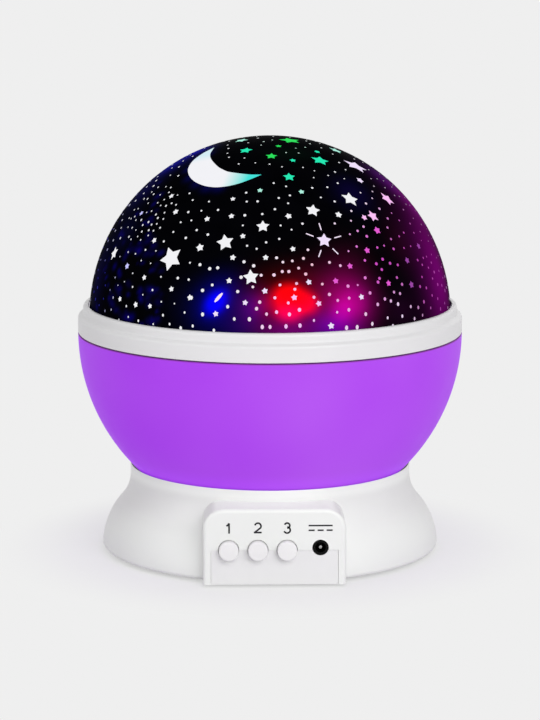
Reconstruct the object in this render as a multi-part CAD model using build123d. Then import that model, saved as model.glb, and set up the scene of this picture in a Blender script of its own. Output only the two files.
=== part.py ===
from build123d import *
from math import acos, asin, atan2, cos, pi, radians, sin, sqrt, tan
import os

# Rotating star night light: a star-printed dome on a bowl that turns on a flared, battery-fed base.
# Millimetres, +Z up. The origin lies on the floor under the middle of the ball, and the control panel
# faces -Y.

# ---- running and assembly clearances -------------------------------------------------------
RUN_GAP = 0.1            # radial gap of a turning or sliding fit
FIT_GAP = 0.2            # gap between fixed mouldings that drop into each other
RIM_GAP = 0.5            # gap between the turning bowl and the rim of the base
PARTING_GAP = 0.25       # shadow line between the bowl and the lift-off shade
THREAD_GAP = 0.02        # gap left round a self-tapping screw in its pilot hole

# ---- ball ----------------------------------------------------------------------------------
BOWL_R = 67.0            # outside radius of the bowl
BOWL_WALL = 2.2
FLOOR_MARGIN = 3.8       # the bowl's flat floor is this much wider in radius than the turntable under it
DOME_WALL = 1.8
DOME_LIFT = 4.9          # the dome's centre lies this far above the bowl's

# ---- shade ring ----------------------------------------------------------------------------
BAND_H = 6.0             # from the bowl's mouth to the top of the ring's wide band
BAND_EDGE_R = 1.3
BAND_SLOPE = 0.4         # rise of the step between the band and the lip
LIP_STEP = 1.8           # the upper lip is this much smaller in radius than the bowl
LIP_H = 3.9
LIP_WALL = 1.9
LIP_EDGE_R = 1.2
LEDGE_RISE = 4.6         # the dome's foot stands on a ledge this far above the bowl's mouth
LEDGE_T = 1.9
LEDGE_W = 2.8
SPIGOT_WALL = 2.0
SPIGOT_DEPTH = 3.4       # how far the ring's spigot drops into the bowl
SPIGOT_EDGE_R = 0.5
SOFT_EDGE_R = 0.3        # small rounding of moulded edges

# ---- base housing --------------------------------------------------------------------------
FOOT_PROUD = 1.0         # the rubber feet lift the mouldings this far off the floor
BASE_FOOT_R = 59.1       # radius at the bottom edge
NECK_R = 49.1            # radius of the upright neck
FLARE_TOP_Z = 27.0       # where the flare runs out into the neck
FLARE_LOWER_R = 24.0     # radius of the lower, outward bulge of the flare
BASE_WALL = 2.2
BASE_EDGE_R = 1.5        # rounding of the bottom outer edge
DECK_BOTTOM_Z = 19.0
DECK_T = 2.0
SPINDLE_R = 12.0         # the ball turns on this tube
SPINDLE_BORE_R = 9.0
SPINDLE_TOP_Z = 29.0

# ---- control panel -------------------------------------------------------------------------
PANEL_HALF_W = 23.95
PANEL_PROUD = 0.9        # the panel stands this far in front of the base's round foot
PANEL_TOP_Z = 26.8
PANEL_CORNER_R = 7.0
PANEL_WALL = 2.0
PANEL_EDGE_R = 1.5       # rounding all round the front face
APRON_HALF_W = 21.3      # the cover's apron closes the lower front of the panel
APRON_SET_BACK = 0.8
APRON_T = 1.6
APRON_GAP = 0.15
BUTTON_Z = 12.9
BUTTON_X = (-15.35, -5.6, 4.15)
BUTTON_R = 3.3
BUTTON_PROUD = 2.5
BUTTON_TRAVEL = 1.0
BUTTON_EDGE_R = 0.5
BUTTON_FLANGE_R = 4.2
BUTTON_FLANGE_T = 1.0
BUTTON_STEM_R = 2.2
BUTTON_STEM_LENGTH = 0.8
JACK_X = 15.3
JACK_Z = 13.6
JACK_NOSE_R = 2.6
JACK_BORE_R = 1.8
JACK_BORE_DEPTH = 9.0
JACK_PIN_R = 0.6
JACK_PIN_LENGTH = 7.8
JACK_BODY_HALF = 4.4
JACK_SET_BACK = 0.4
JACK_BACK_WALL = 0.5

# ---- control board -------------------------------------------------------------------------
PCB_T = 1.6
BOARD_SET_BACK = 9.0     # from the panel's front to the board's front
BOARD_HALF_W = 20.5
BOARD_TOP_Z = 18.6
SWITCH_HALF = 3.0
SWITCH_DEPTH = 3.5
PLUNGER_R = 1.7
GUIDE_W = 2.4            # width and height of the slotted posts that hold the board
GUIDE_H = 5.8
GUIDE_WALL = 1.3

# ---- bottom cover and battery bay ----------------------------------------------------------
COVER_T = 2.2
BAY_LENGTH = 53.0        # along X, cell plus spring and contacts
BAY_WIDTH = 46.0         # along Y, four cells side by side
BAY_CENTRE_Y = -7.0
BAY_DEPTH = 11.0
BAY_WALL = 1.6
DOOR_T = 1.6
DOOR_RECESS = 0.2        # the door lies this far inside the cover's underside
DOOR_GAP = 0.3
DOOR_LEDGE = 2.5         # the door overlaps the bay by this much all round
FRAME_T = 1.8            # stiffening frame over the door's ledge
FRAME_W = 2.0
DOOR_TAB_HALF_W = 4.5
DOOR_TAB_LENGTH = 8.5
DOOR_SCREW_BOSS_R = 3.4
DOOR_SCREW_BOSS_H = 3.6
DOOR_SCREW_HEAD_T = 0.8
DOOR_CORNER_R = 1.0
GRIP_COUNT = 4           # finger grooves on the door
GRIP_PITCH = 2.6
GRIP_W = 1.2
GRIP_DEPTH = 0.6
GRIP_LENGTH = 18.0

CELL_COUNT = 4
CELL_R = 5.25
CELL_BODY_LENGTH = 43.7
CELL_NUB_R = 1.9
CELL_NUB_LENGTH = 0.8
CELL_EDGE_R = 0.6
CELL_PITCH = 11.4
CONTACT_T = 0.4
CONTACT_HALF = 4.2
SPRING_R = 3.0
SPRING_WIRE_R = 0.35
SPRING_TURNS = 3.5
TAB_HALF_W = 1.4
TAB_RISE = 2.2

# ---- feet and screws -----------------------------------------------------------------------
FOOT_R = 4.0
FOOT_INSET = 8.6         # from the base's edge to a foot's centre
FOOT_POCKET = 0.8
FOOT_COUNT = 4
COVER_SCREW_INSET = 11.1     # from the base's edge to a screw's centre
COVER_SCREW_ANGLE = 40.0     # from the X axis, the same in all four quarters
COVER_SCREW_R = 1.1
COVER_SCREW_HEAD_R = 2.5
COVER_SCREW_HEAD_T = 1.1
COVER_SCREW_LENGTH = 9.0
COVER_BOSS_R = 3.2
SMALL_SCREW_R = 1.0
SMALL_HEAD_R = 1.8
SMALL_HEAD_T = 1.1
SLOT_W = 0.5             # cross slot in every screw head
SLOT_DEPTH = 0.5

# ---- turntable and drive -------------------------------------------------------------------
MODULE = 1.0
RING_TEETH = 72
PINION_TEETH = 12
PRESSURE_ANGLE = radians(20)
BACKLASH = 0.24
RING_ADDENDUM = 0.6      # short, so that the ring's tips clear the small pinion's flanks
PINION_ADDENDUM = 1.0
TIP_CLEARANCE = 0.25
RING_RIM_W = 2.4
WASHER_T = 1.0
WASHER_W = 4.8
HUB_WALL = 3.9
DISC_T = 2.0
GEAR_H = 2.3             # height of the ring gear under the turntable's disc
TURNTABLE_GAP = 0.7      # gap between the ring gear and the deck
TURNTABLE_SCREW_CIRCLE_R = 20.2
TURNTABLE_SCREW_COUNT = 3
TURNTABLE_SCREW_ANGLE = 30.0
TURNTABLE_SCREW_LENGTH = 7.0
BOWL_BOSS_R = 2.8
BOWL_BOSS_H = 3.8
MOTOR_R = 10.0
MOTOR_H = 9.6
MOTOR_EDGE_R = 0.8
MOTOR_BOSS_R = 3.9
MOTOR_BOSS_H = 1.6
MOTOR_EAR_X = 13.0
MOTOR_EAR_END = 2.6
MOTOR_EAR_T = 1.6
SHAFT_R = 1.5
SHAFT_DEPTH = 6.8        # how far the shaft reaches down into the motor
PINION_H = 2.3
PINION_LIFT = 0.4        # gap under the pinion
TERMINAL_HALF_W = 7.0
TERMINAL_REACH = 11.8    # from the motor's axis to the front of its terminal block
TERMINAL_H = 8.2

# ---- lamp column ---------------------------------------------------------------------------
FLANGE_R = 15.5
FLANGE_T = 2.0
COLUMN_R = 8.5
COLUMN_WALL = 2.0
COLUMN_DROP = 7.0        # the column's head lies this far below the bowl's mouth
TABLE_R = 15.0           # round table at the head of the column
TABLE_T = 2.0
GUSSET_T = 1.6
GUSSET_H = 9.0
GUSSET_COUNT = 4
GUSSET_INSET = 1.0       # from the table's edge, and into the column's wall
COLUMN_SCREW_CIRCLE_R = 10.5
COLUMN_SCREW_COUNT = 3
COLUMN_SCREW_ANGLE = 90.0
COLUMN_SCREW_LENGTH = 8.0
LAMP_SCREW_CIRCLE_R = 12.3
LAMP_SCREW_COUNT = 2
LAMP_SCREW_ANGLE = 135.0
LED_R = 2.5
LED_FLANGE_R = 2.9
LED_FLANGE_T = 1.0
LED_STRAIGHT = 6.1
LED_CIRCLE_R = 7.0
LED_ANGLES = {"led_blue": 190.0, "led_red": 310.0, "led_green": 70.0}

# ---- leads ---------------------------------------------------------------------------------
LEAD_R = 1.1
LEAD_BEND_R = 6.0
MOTOR_LEAD_X = -5.0
BATTERY_LEAD_X = 9.0
LEAD_SWAY = 3.5          # sideways slack of the motor lead
LEAD_RUN = 12.0          # straight run of the motor lead at each end
MOTOR_LEAD_BEND_R = 30.0

# ---- worked out from the sizes above -------------------------------------------------------
RING_PITCH_R = MODULE * RING_TEETH / 2
PINION_PITCH_R = MODULE * PINION_TEETH / 2
DRIVE_Y = RING_PITCH_R - PINION_PITCH_R
RING_ROOT_R = RING_PITCH_R + MODULE * (PINION_ADDENDUM + TIP_CLEARANCE)
RING_OUTER_R = RING_ROOT_R + RING_RIM_W
BASE_BOTTOM_Z = FOOT_PROUD
DECK_TOP_Z = DECK_BOTTOM_Z + DECK_T
DISC_BOTTOM_Z = DECK_TOP_Z + TURNTABLE_GAP + GEAR_H
HUB_BOTTOM_Z = DECK_TOP_Z + WASHER_T + RUN_GAP
HUB_OUTER_R = SPINDLE_R + HUB_WALL
BOWL_FLOOR_Z = DISC_BOTTOM_Z + DISC_T
BOWL_FLOOR_R = RING_OUTER_R + FLOOR_MARGIN
EQUATOR_Z = BOWL_FLOOR_Z + sqrt(BOWL_R**2 - BOWL_FLOOR_R**2)     # the bowl's centre and open mouth
RING_BOTTOM_Z = EQUATOR_Z + PARTING_GAP
BAND_TOP_Z = EQUATOR_Z + BAND_H
LIP_R = BOWL_R - LIP_STEP
LIP_TOP_Z = BAND_TOP_Z + LIP_H
LEDGE_TOP_Z = EQUATOR_Z + LEDGE_RISE
DOME_R = LIP_R - LIP_WALL - FIT_GAP
DOME_CENTRE_Z = EQUATOR_Z + DOME_LIFT
COLUMN_TOP_Z = EQUATOR_Z - COLUMN_DROP
FOOT_CIRCLE_R = BASE_FOOT_R - FOOT_INSET
COVER_SCREW_CIRCLE_R = BASE_FOOT_R - COVER_SCREW_INSET
COVER_TOP_Z = BASE_BOTTOM_Z + COVER_T
DOOR_BOTTOM_Z = BASE_BOTTOM_Z + DOOR_RECESS
DOOR_TOP_Z = DOOR_BOTTOM_Z + DOOR_T
LEDGE_Z = DOOR_TOP_Z + FIT_GAP
BAY_TOP_Z = LEDGE_Z + BAY_DEPTH
BAY_OUTER_TOP_Z = BAY_TOP_Z + BAY_WALL
BAY_REAR_Y = BAY_CENTRE_Y + BAY_WIDTH / 2
CELL_Z = LEDGE_Z + CELL_R
CELL_LENGTH = CELL_BODY_LENGTH + CELL_NUB_LENGTH
DOOR_HALF_X = BAY_LENGTH / 2 + DOOR_LEDGE
DOOR_HALF_Y = BAY_WIDTH / 2 + DOOR_LEDGE
DOOR_SCREW_Y = BAY_CENTRE_Y + DOOR_HALF_Y + DOOR_TAB_LENGTH / 2
PANEL_FRONT_Y = -BASE_FOOT_R - PANEL_PROUD
PANEL_INSIDE_Y = PANEL_FRONT_Y + PANEL_WALL
APRON_FRONT_Y = PANEL_FRONT_Y + APRON_SET_BACK
APRON_BACK_Y = APRON_FRONT_Y + APRON_T
BOARD_FRONT_Y = PANEL_FRONT_Y + BOARD_SET_BACK
BOARD_BACK_Y = BOARD_FRONT_Y + PCB_T
SWITCH_FRONT_Y = BOARD_FRONT_Y - SWITCH_DEPTH
BUTTON_FLANGE_Y = max(PANEL_INSIDE_Y, APRON_BACK_Y) + FIT_GAP
BUTTON_BACK_Y = BUTTON_FLANGE_Y + BUTTON_FLANGE_T + BUTTON_STEM_LENGTH
PLUNGER_BACK_Y = (BUTTON_BACK_Y + BOARD_FRONT_Y) / 2
JACK_FRONT_Y = PANEL_FRONT_Y + JACK_SET_BACK
JACK_BORE_Y = min(JACK_FRONT_Y + JACK_BORE_DEPTH, BOARD_FRONT_Y - JACK_BACK_WALL)
LEAD_Z = (BAY_OUTER_TOP_Z + DECK_BOTTOM_Z) / 2


def bar(x0, x1, y0, y1, z0, z1):
    """A block between two corners."""
    return Pos((x0 + x1) / 2, (y0 + y1) / 2, (z0 + z1) / 2) * Box(x1 - x0, y1 - y0, z1 - z0)


def disc(radius, z0, z1, x=0.0, y=0.0):
    """An upright cylinder from z0 to z1."""
    return Pos(x, y, (z0 + z1) / 2) * Cylinder(radius, z1 - z0)


def rod_y(radius, x, z, y0, y1):
    """A cylinder lying along Y from y0 to y1."""
    return Pos(x, (y0 + y1) / 2, z) * Rot(90, 0, 0) * Cylinder(radius, y1 - y0)


def rod_x(radius, y, z, x0, x1):
    """A cylinder lying along X from x0 to x1."""
    return Pos((x0 + x1) / 2, y, z) * Rot(0, 90, 0) * Cylinder(radius, x1 - x0)


def polar(radius, angle):
    """A point at a radius and an angle."""
    return (radius * cos(angle), radius * sin(angle))


def around(radius, count, first=0.0):
    """Points spaced evenly round a circle, from an angle in degrees."""
    return [polar(radius, radians(first + 360.0 * i / count)) for i in range(count)]


def cover_screw_points():
    """The four screws of the bottom cover, clear of the battery bay's corners."""
    x, y = polar(COVER_SCREW_CIRCLE_R, radians(COVER_SCREW_ANGLE))
    return [(x, y), (-x, y), (-x, -y), (x, -y)]


def group(shapes):
    """Separate solids of one node."""
    return Compound([solid for shape in shapes for solid in shape.solids()])


def turned(edges):
    """A solid of revolution about Z from a closed outline in the XZ plane."""
    return revolve(Plane.XZ * make_face(edges), Axis.Z)


def screw(radius, length, head_r, head_t, up=True):
    """A cross-slotted screw under a head whose seat is at z = 0; up drives the shank towards +Z."""
    head = disc(head_r, -head_t, 0)
    head = fillet(head.edges().group_by(Axis.Z)[0], head_t / 3)
    slots = bar(-head_r, head_r, -SLOT_W / 2, SLOT_W / 2, -head_t, SLOT_DEPTH - head_t)
    slots += bar(-SLOT_W / 2, SLOT_W / 2, -head_r, head_r, -head_t, SLOT_DEPTH - head_t)
    shank = disc(radius, 0, length)
    shank = chamfer(shank.edges().group_by(Axis.Z)[-1], radius / 2)
    body = head - slots + shank
    return body if up else Rot(180, 0, 0) * body


# ---- base ----------------------------------------------------------------------------------
def flared(inset, top):
    """The base's round body, drawn in by inset: two tangent arcs, then an upright neck up to top."""
    drop = BASE_FOOT_R - NECK_R
    rise = FLARE_TOP_Z - BASE_BOTTOM_Z
    turn = 2 * atan2(drop, rise)
    upper_r = (drop**2 + rise**2) / (2 * drop) - FLARE_LOWER_R
    lower_c = (BASE_FOOT_R - FLARE_LOWER_R, BASE_BOTTOM_Z)
    upper_c = (NECK_R + upper_r, FLARE_TOP_Z)
    low_r = FLARE_LOWER_R - inset
    high_r = upper_r + inset

    def low(angle):
        return (lower_c[0] + low_r * cos(angle), lower_c[1] + low_r * sin(angle))

    def high(angle):
        return (upper_c[0] - high_r * cos(angle), upper_c[1] - high_r * sin(angle))

    outline = [
        Line((0, BASE_BOTTOM_Z), low(0)),
        ThreePointArc(low(0), low(turn / 2), low(turn)),
        ThreePointArc(low(turn), high(turn / 2), high(0)),
        Line(high(0), (high(0)[0], top)),
        Line((high(0)[0], top), (0, top)),
        Line((0, top), (0, BASE_BOTTOM_Z)),
    ]
    return turned(outline)


def panel_block(inset, back_y):
    """The upright block of the control panel, drawn in by inset, with its two upper corners rounded."""
    half = PANEL_HALF_W - inset
    top = PANEL_TOP_Z - inset
    corner = PANEL_CORNER_R - inset
    outline = Plane.XZ * make_face(
        FilletPolyline(
            (-half, BASE_BOTTOM_Z), (-half, top), (half, top), (half, BASE_BOTTOM_Z),
            radius=[0, corner, corner, 0], close=True,
        )
    )
    front = PANEL_FRONT_Y + inset
    return Pos(0, front, 0) * extrude(outline, front - back_y)


def control_holes(gap, y0, y1):
    """Round holes for the three buttons and the socket, through a wall from y0 to y1."""
    holes = rod_y(JACK_NOSE_R + APRON_GAP, JACK_X, JACK_Z, y0, y1)
    for x in BUTTON_X:
        holes += rod_y(BUTTON_R + gap, x, BUTTON_Z, y0, y1)
    return holes


def base_housing():
    """The flared white shell with its deck, spindle, screw bosses and the control panel's surround."""
    top = EQUATOR_Z / 2
    round_body = flared(0, top)
    block = panel_block(0, 0)
    front_edges = block.edges().filter_by(Plane.XZ).group_by(Axis.Y)[0]
    block = fillet(front_edges.sort_by(Axis.Z)[1:], PANEL_EDGE_R)
    body = fillet(round_body.edges().group_by(Axis.Z)[0], BASE_EDGE_R) + block
    hollow = flared(BASE_WALL, top)
    below = hollow & disc(BASE_FOOT_R, BASE_BOTTOM_Z, DECK_BOTTOM_Z)
    above = hollow & disc(BASE_FOOT_R, DECK_TOP_Z, top)
    pocket = panel_block(PANEL_WALL, 0)
    low_pocket = pocket & bar(-BASE_FOOT_R, BASE_FOOT_R, PANEL_FRONT_Y, BOARD_BACK_Y + PANEL_WALL,
                              BASE_BOTTOM_Z, DECK_BOTTOM_Z)
    high_pocket = pocket - round_body
    ball_room = Pos(0, 0, EQUATOR_Z) * Sphere(BOWL_R + RIM_GAP) & disc(BASE_FOOT_R, DECK_TOP_Z, top)
    body = body - below - above - low_pocket - high_pocket - ball_room
    for x, y in cover_screw_points():
        body += disc(COVER_BOSS_R, COVER_TOP_Z, DECK_BOTTOM_Z, x, y) & flared(BASE_WALL / 2, top)
        pilot_top = BASE_BOTTOM_Z + COVER_SCREW_HEAD_T + COVER_SCREW_LENGTH + FIT_GAP
        body -= disc(COVER_SCREW_R + THREAD_GAP, COVER_TOP_Z, pilot_top, x, y)
    body += disc(SPINDLE_R, DECK_BOTTOM_Z, SPINDLE_TOP_Z)
    body -= disc(SPINDLE_BORE_R, DECK_BOTTOM_Z, SPINDLE_TOP_Z)
    for x, y in around(COLUMN_SCREW_CIRCLE_R, COLUMN_SCREW_COUNT, COLUMN_SCREW_ANGLE):
        depth = COLUMN_SCREW_LENGTH - FLANGE_T + FIT_GAP
        body -= disc(SMALL_SCREW_R + THREAD_GAP, SPINDLE_TOP_Z - depth, SPINDLE_TOP_Z, x, y)
    body -= disc(MOTOR_BOSS_R + FIT_GAP, DECK_BOTTOM_Z, DECK_TOP_Z, 0, DRIVE_Y)
    for x in (-MOTOR_EAR_X, MOTOR_EAR_X):
        body -= disc(SMALL_SCREW_R + THREAD_GAP, DECK_BOTTOM_Z, DECK_TOP_Z, x, DRIVE_Y)
    slot_half = APRON_HALF_W + APRON_GAP
    body -= bar(-slot_half, slot_half, PANEL_FRONT_Y, PANEL_INSIDE_Y, BASE_BOTTOM_Z, BUTTON_Z)
    body -= control_holes(FIT_GAP, PANEL_FRONT_Y, PANEL_INSIDE_Y)
    return body


def bottom_cover():
    """The underside: plate, battery bay, the apron that closes the panel, and the board's guides."""
    plate = disc(BASE_FOOT_R - BASE_WALL - FIT_GAP, BASE_BOTTOM_Z, COVER_TOP_Z)
    tongue_half = PANEL_HALF_W - PANEL_WALL - FIT_GAP
    plate += bar(-tongue_half, tongue_half, PANEL_INSIDE_Y + FIT_GAP, 0, BASE_BOTTOM_Z, COVER_TOP_Z)
    plate += bar(-APRON_HALF_W, APRON_HALF_W, APRON_FRONT_Y, 0, BASE_BOTTOM_Z, COVER_TOP_Z)
    plate += bar(-APRON_HALF_W, APRON_HALF_W, APRON_FRONT_Y, APRON_BACK_Y,
                 BASE_BOTTOM_Z, BUTTON_Z - APRON_GAP)
    plate -= control_holes(FIT_GAP, APRON_FRONT_Y, APRON_BACK_Y)
    frame_x = DOOR_HALF_X + DOOR_GAP + FRAME_W
    frame_y = DOOR_HALF_Y + DOOR_GAP + FRAME_W
    plate += bar(-frame_x, frame_x, BAY_CENTRE_Y - frame_y, BAY_CENTRE_Y + frame_y,
                 BASE_BOTTOM_Z, LEDGE_Z + FRAME_T)
    tab_x = DOOR_TAB_HALF_W + DOOR_GAP
    tab_end = BAY_CENTRE_Y + DOOR_HALF_Y + DOOR_TAB_LENGTH + DOOR_GAP
    plate += bar(-tab_x - FRAME_W, tab_x + FRAME_W, BAY_REAR_Y, tab_end + FRAME_W,
                 BASE_BOTTOM_Z, LEDGE_Z + FRAME_T)
    boss_top = LEDGE_Z + FRAME_T + DOOR_SCREW_BOSS_H
    plate += disc(DOOR_SCREW_BOSS_R, LEDGE_Z, boss_top, 0, DOOR_SCREW_Y)
    bay_x = BAY_LENGTH / 2
    bay_y = BAY_WIDTH / 2
    plate += bar(-bay_x - BAY_WALL, bay_x + BAY_WALL, BAY_CENTRE_Y - bay_y - BAY_WALL,
                 BAY_CENTRE_Y + bay_y + BAY_WALL, LEDGE_Z, BAY_OUTER_TOP_Z)
    plate -= bar(-bay_x, bay_x, BAY_CENTRE_Y - bay_y, BAY_CENTRE_Y + bay_y, BASE_BOTTOM_Z, BAY_TOP_Z)
    door_x = DOOR_HALF_X + DOOR_GAP
    door_y = DOOR_HALF_Y + DOOR_GAP
    plate -= bar(-door_x, door_x, BAY_CENTRE_Y - door_y, BAY_CENTRE_Y + door_y, BASE_BOTTOM_Z, LEDGE_Z)
    plate -= bar(-tab_x, tab_x, BAY_REAR_Y, tab_end, BASE_BOTTOM_Z, LEDGE_Z)
    plate -= disc(COVER_SCREW_R + RUN_GAP, LEDGE_Z, boss_top, 0, DOOR_SCREW_Y)
    for y in (cell_y(0), cell_y(CELL_COUNT - 1)):
        slot_x = bay_x - CONTACT_T - RUN_GAP
        plate -= bar(slot_x, bay_x, y - TAB_HALF_W - RUN_GAP, y + TAB_HALF_W + RUN_GAP,
                     BAY_TOP_Z, BAY_OUTER_TOP_Z)
    for x, y in cover_screw_points():
        plate -= disc(COVER_SCREW_R + RUN_GAP, BASE_BOTTOM_Z, COVER_TOP_Z, x, y)
        plate -= disc(COVER_SCREW_HEAD_R + FIT_GAP, BASE_BOTTOM_Z, BASE_BOTTOM_Z + COVER_SCREW_HEAD_T, x, y)
    for x, y in around(FOOT_CIRCLE_R, FOOT_COUNT):
        plate -= disc(FOOT_R + RUN_GAP, BASE_BOTTOM_Z, BASE_BOTTOM_Z + FOOT_POCKET, x, y)
    guide_y0 = BOARD_FRONT_Y - RUN_GAP
    guide_y1 = BOARD_BACK_Y + RUN_GAP
    for side in (-1, 1):
        inner = side * (BOARD_HALF_W - GUIDE_W / 2)
        outer = side * (BOARD_HALF_W + GUIDE_W / 2)
        x0 = min(inner, outer)
        x1 = max(inner, outer)
        guide_top = COVER_TOP_Z + GUIDE_H
        post = bar(x0, x1, guide_y0 - GUIDE_WALL, guide_y1 + GUIDE_WALL, COVER_TOP_Z, guide_top)
        reach = side * (BOARD_HALF_W + RUN_GAP)
        post -= bar(min(inner, reach), max(inner, reach), guide_y0, guide_y1, COVER_TOP_Z, guide_top)
        plate += post
    return plate


def rubber_feet():
    """Four soft feet pressed into pockets in the cover."""
    feet = []
    for x, y in around(FOOT_CIRCLE_R, FOOT_COUNT):
        foot = disc(FOOT_R, 0, BASE_BOTTOM_Z + FOOT_POCKET, x, y)
        feet.append(fillet(foot.edges().group_by(Axis.Z)[0], FOOT_PROUD / 3))
    return group(feet)


def cover_screws():
    """Four self-tapping screws up through the cover into the housing's bosses."""
    one = screw(COVER_SCREW_R, COVER_SCREW_LENGTH, COVER_SCREW_HEAD_R, COVER_SCREW_HEAD_T)
    seat = BASE_BOTTOM_Z + COVER_SCREW_HEAD_T
    return group([Pos(x, y, seat) * one for x, y in cover_screw_points()])


def battery_door():
    """The flat door under the cells, with its screw tab and finger grooves."""
    door = bar(-DOOR_HALF_X, DOOR_HALF_X, BAY_CENTRE_Y - DOOR_HALF_Y, BAY_CENTRE_Y + DOOR_HALF_Y,
               DOOR_BOTTOM_Z, DOOR_TOP_Z)
    tab_end = BAY_CENTRE_Y + DOOR_HALF_Y + DOOR_TAB_LENGTH
    door += bar(-DOOR_TAB_HALF_W, DOOR_TAB_HALF_W, BAY_REAR_Y, tab_end, DOOR_BOTTOM_Z, DOOR_TOP_Z)
    door = fillet(door.edges().filter_by(Axis.Z), DOOR_CORNER_R)
    door -= disc(COVER_SCREW_R + RUN_GAP, DOOR_BOTTOM_Z, DOOR_TOP_Z, 0, DOOR_SCREW_Y)
    for i in range(GRIP_COUNT):
        y = BAY_CENTRE_Y - DOOR_HALF_Y / 2 + i * GRIP_PITCH
        door -= bar(-GRIP_LENGTH / 2, GRIP_LENGTH / 2, y, y + GRIP_W,
                    DOOR_BOTTOM_Z, DOOR_BOTTOM_Z + GRIP_DEPTH)
    return door


def door_screw():
    """The captive screw of the battery door, its head just proud of the tab."""
    shank = LEDGE_Z + FRAME_T + DOOR_SCREW_BOSS_H - DOOR_BOTTOM_Z - FIT_GAP
    one = screw(COVER_SCREW_R, shank, COVER_SCREW_HEAD_R, DOOR_SCREW_HEAD_T)
    return Pos(0, DOOR_SCREW_Y, DOOR_BOTTOM_Z) * one


# ---- cells and contacts --------------------------------------------------------------------
def cell_y(index):
    """The place of one cell across the bay."""
    return BAY_CENTRE_Y + (index - (CELL_COUNT - 1) / 2) * CELL_PITCH


def cell_way(index):
    """Neighbouring cells lie opposite ways: +1 has its nub towards +X."""
    return 1 if index % 2 == 0 else -1


def aaa_cells():
    """Four AAA cells side by side."""
    cells = []
    for i in range(CELL_COUNT):
        way = cell_way(i)
        nub_end = BAY_LENGTH / 2 - CONTACT_T
        can_end = nub_end - CELL_NUB_LENGTH
        far_end = nub_end - CELL_LENGTH
        can = rod_x(CELL_R, 0, 0, far_end, can_end)
        can = fillet(can.edges().filter_by(GeomType.CIRCLE), CELL_EDGE_R)
        cell = can + rod_x(CELL_NUB_R, 0, 0, can_end, nub_end)
        turn = 0 if way > 0 else 180
        cells.append(Pos(0, cell_y(i), CELL_Z) * Rot(0, 0, turn) * cell)
    return group(cells)


def battery_contacts():
    """Sheet-metal contacts on both end walls, two with solder tabs that come up through the bay's roof."""
    plates = []
    for i in range(CELL_COUNT):
        for side in (-1, 1):
            y = cell_y(i)
            x0 = side * BAY_LENGTH / 2
            x1 = side * (BAY_LENGTH / 2 - CONTACT_T)
            plate = bar(min(x0, x1), max(x0, x1), y - CONTACT_HALF, y + CONTACT_HALF,
                        CELL_Z - CONTACT_HALF, CELL_Z + CONTACT_HALF)
            if side > 0 and i in (0, CELL_COUNT - 1):
                plate += bar(x1, x0, y - TAB_HALF_W, y + TAB_HALF_W, CELL_Z, BAY_OUTER_TOP_Z + TAB_RISE)
            plates.append(plate)
    return group(plates)


def battery_springs():
    """One coil spring behind the flat end of each cell."""
    length = BAY_LENGTH - 2 * CONTACT_T - CELL_LENGTH
    coil = length - 2 * SPRING_WIRE_R
    path = Helix(coil / SPRING_TURNS, coil, SPRING_R)
    section = Plane(origin=path @ 0, z_dir=path % 0) * Circle(SPRING_WIRE_R)
    spring = Pos(0, 0, SPRING_WIRE_R) * sweep(section, path=path)
    springs = []
    for i in range(CELL_COUNT):
        lying = Rot(0, 90, 0) * spring
        start = Pos(CONTACT_T - BAY_LENGTH / 2, 0, 0) * lying
        turn = 0 if cell_way(i) > 0 else 180
        springs.append(Pos(0, cell_y(i), CELL_Z) * Rot(0, 0, turn) * start)
    return group(springs)


# ---- controls ------------------------------------------------------------------------------
def control_board():
    """The upright circuit board behind the panel."""
    return bar(-BOARD_HALF_W, BOARD_HALF_W, BOARD_FRONT_Y, BOARD_BACK_Y, COVER_TOP_Z + FIT_GAP, BOARD_TOP_Z)


def tact_switches():
    """Three push switches on the board, each with a well for its plunger."""
    switches = []
    plunger_in = PLUNGER_BACK_Y + BUTTON_TRAVEL + FIT_GAP
    for x in BUTTON_X:
        body = bar(x - SWITCH_HALF, x + SWITCH_HALF, SWITCH_FRONT_Y, BOARD_FRONT_Y,
                   BUTTON_Z - SWITCH_HALF, BUTTON_Z + SWITCH_HALF)
        body -= rod_y(PLUNGER_R + RUN_GAP, x, BUTTON_Z, SWITCH_FRONT_Y, plunger_in)
        switches.append(body)
    return group(switches)


def button(x):
    """A round push button with a flange that keeps it behind the panel."""
    front = PANEL_FRONT_Y - BUTTON_PROUD
    cap = rod_y(BUTTON_R, x, BUTTON_Z, front, BUTTON_FLANGE_Y)
    cap = fillet(cap.edges().group_by(Axis.Y)[0], BUTTON_EDGE_R)
    flange_end = BUTTON_FLANGE_Y + BUTTON_FLANGE_T
    cap += rod_y(BUTTON_FLANGE_R, x, BUTTON_Z, BUTTON_FLANGE_Y, flange_end)
    return cap + rod_y(BUTTON_STEM_R, x, BUTTON_Z, flange_end, BUTTON_BACK_Y)


def switch_plunger(x):
    """The plunger of one switch, pushed in by its button."""
    return rod_y(PLUNGER_R, x, BUTTON_Z, BUTTON_BACK_Y, PLUNGER_BACK_Y)


def dc_jack():
    """The black power socket on the board, its round nose showing in the panel."""
    body_front = max(PANEL_INSIDE_Y, APRON_BACK_Y) + FIT_GAP
    body = bar(JACK_X - JACK_BODY_HALF, JACK_X + JACK_BODY_HALF, body_front, BOARD_FRONT_Y,
               JACK_Z - JACK_BODY_HALF, JACK_Z + JACK_BODY_HALF)
    body += rod_y(JACK_NOSE_R, JACK_X, JACK_Z, JACK_FRONT_Y, body_front)
    return body - rod_y(JACK_BORE_R, JACK_X, JACK_Z, JACK_FRONT_Y, JACK_BORE_Y)


def dc_jack_pin():
    """The socket's centre pin."""
    pin = rod_y(JACK_PIN_R, JACK_X, JACK_Z, JACK_BORE_Y - JACK_PIN_LENGTH, JACK_BORE_Y)
    return fillet(pin.edges().group_by(Axis.Y)[0], JACK_PIN_R / 2)


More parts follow.
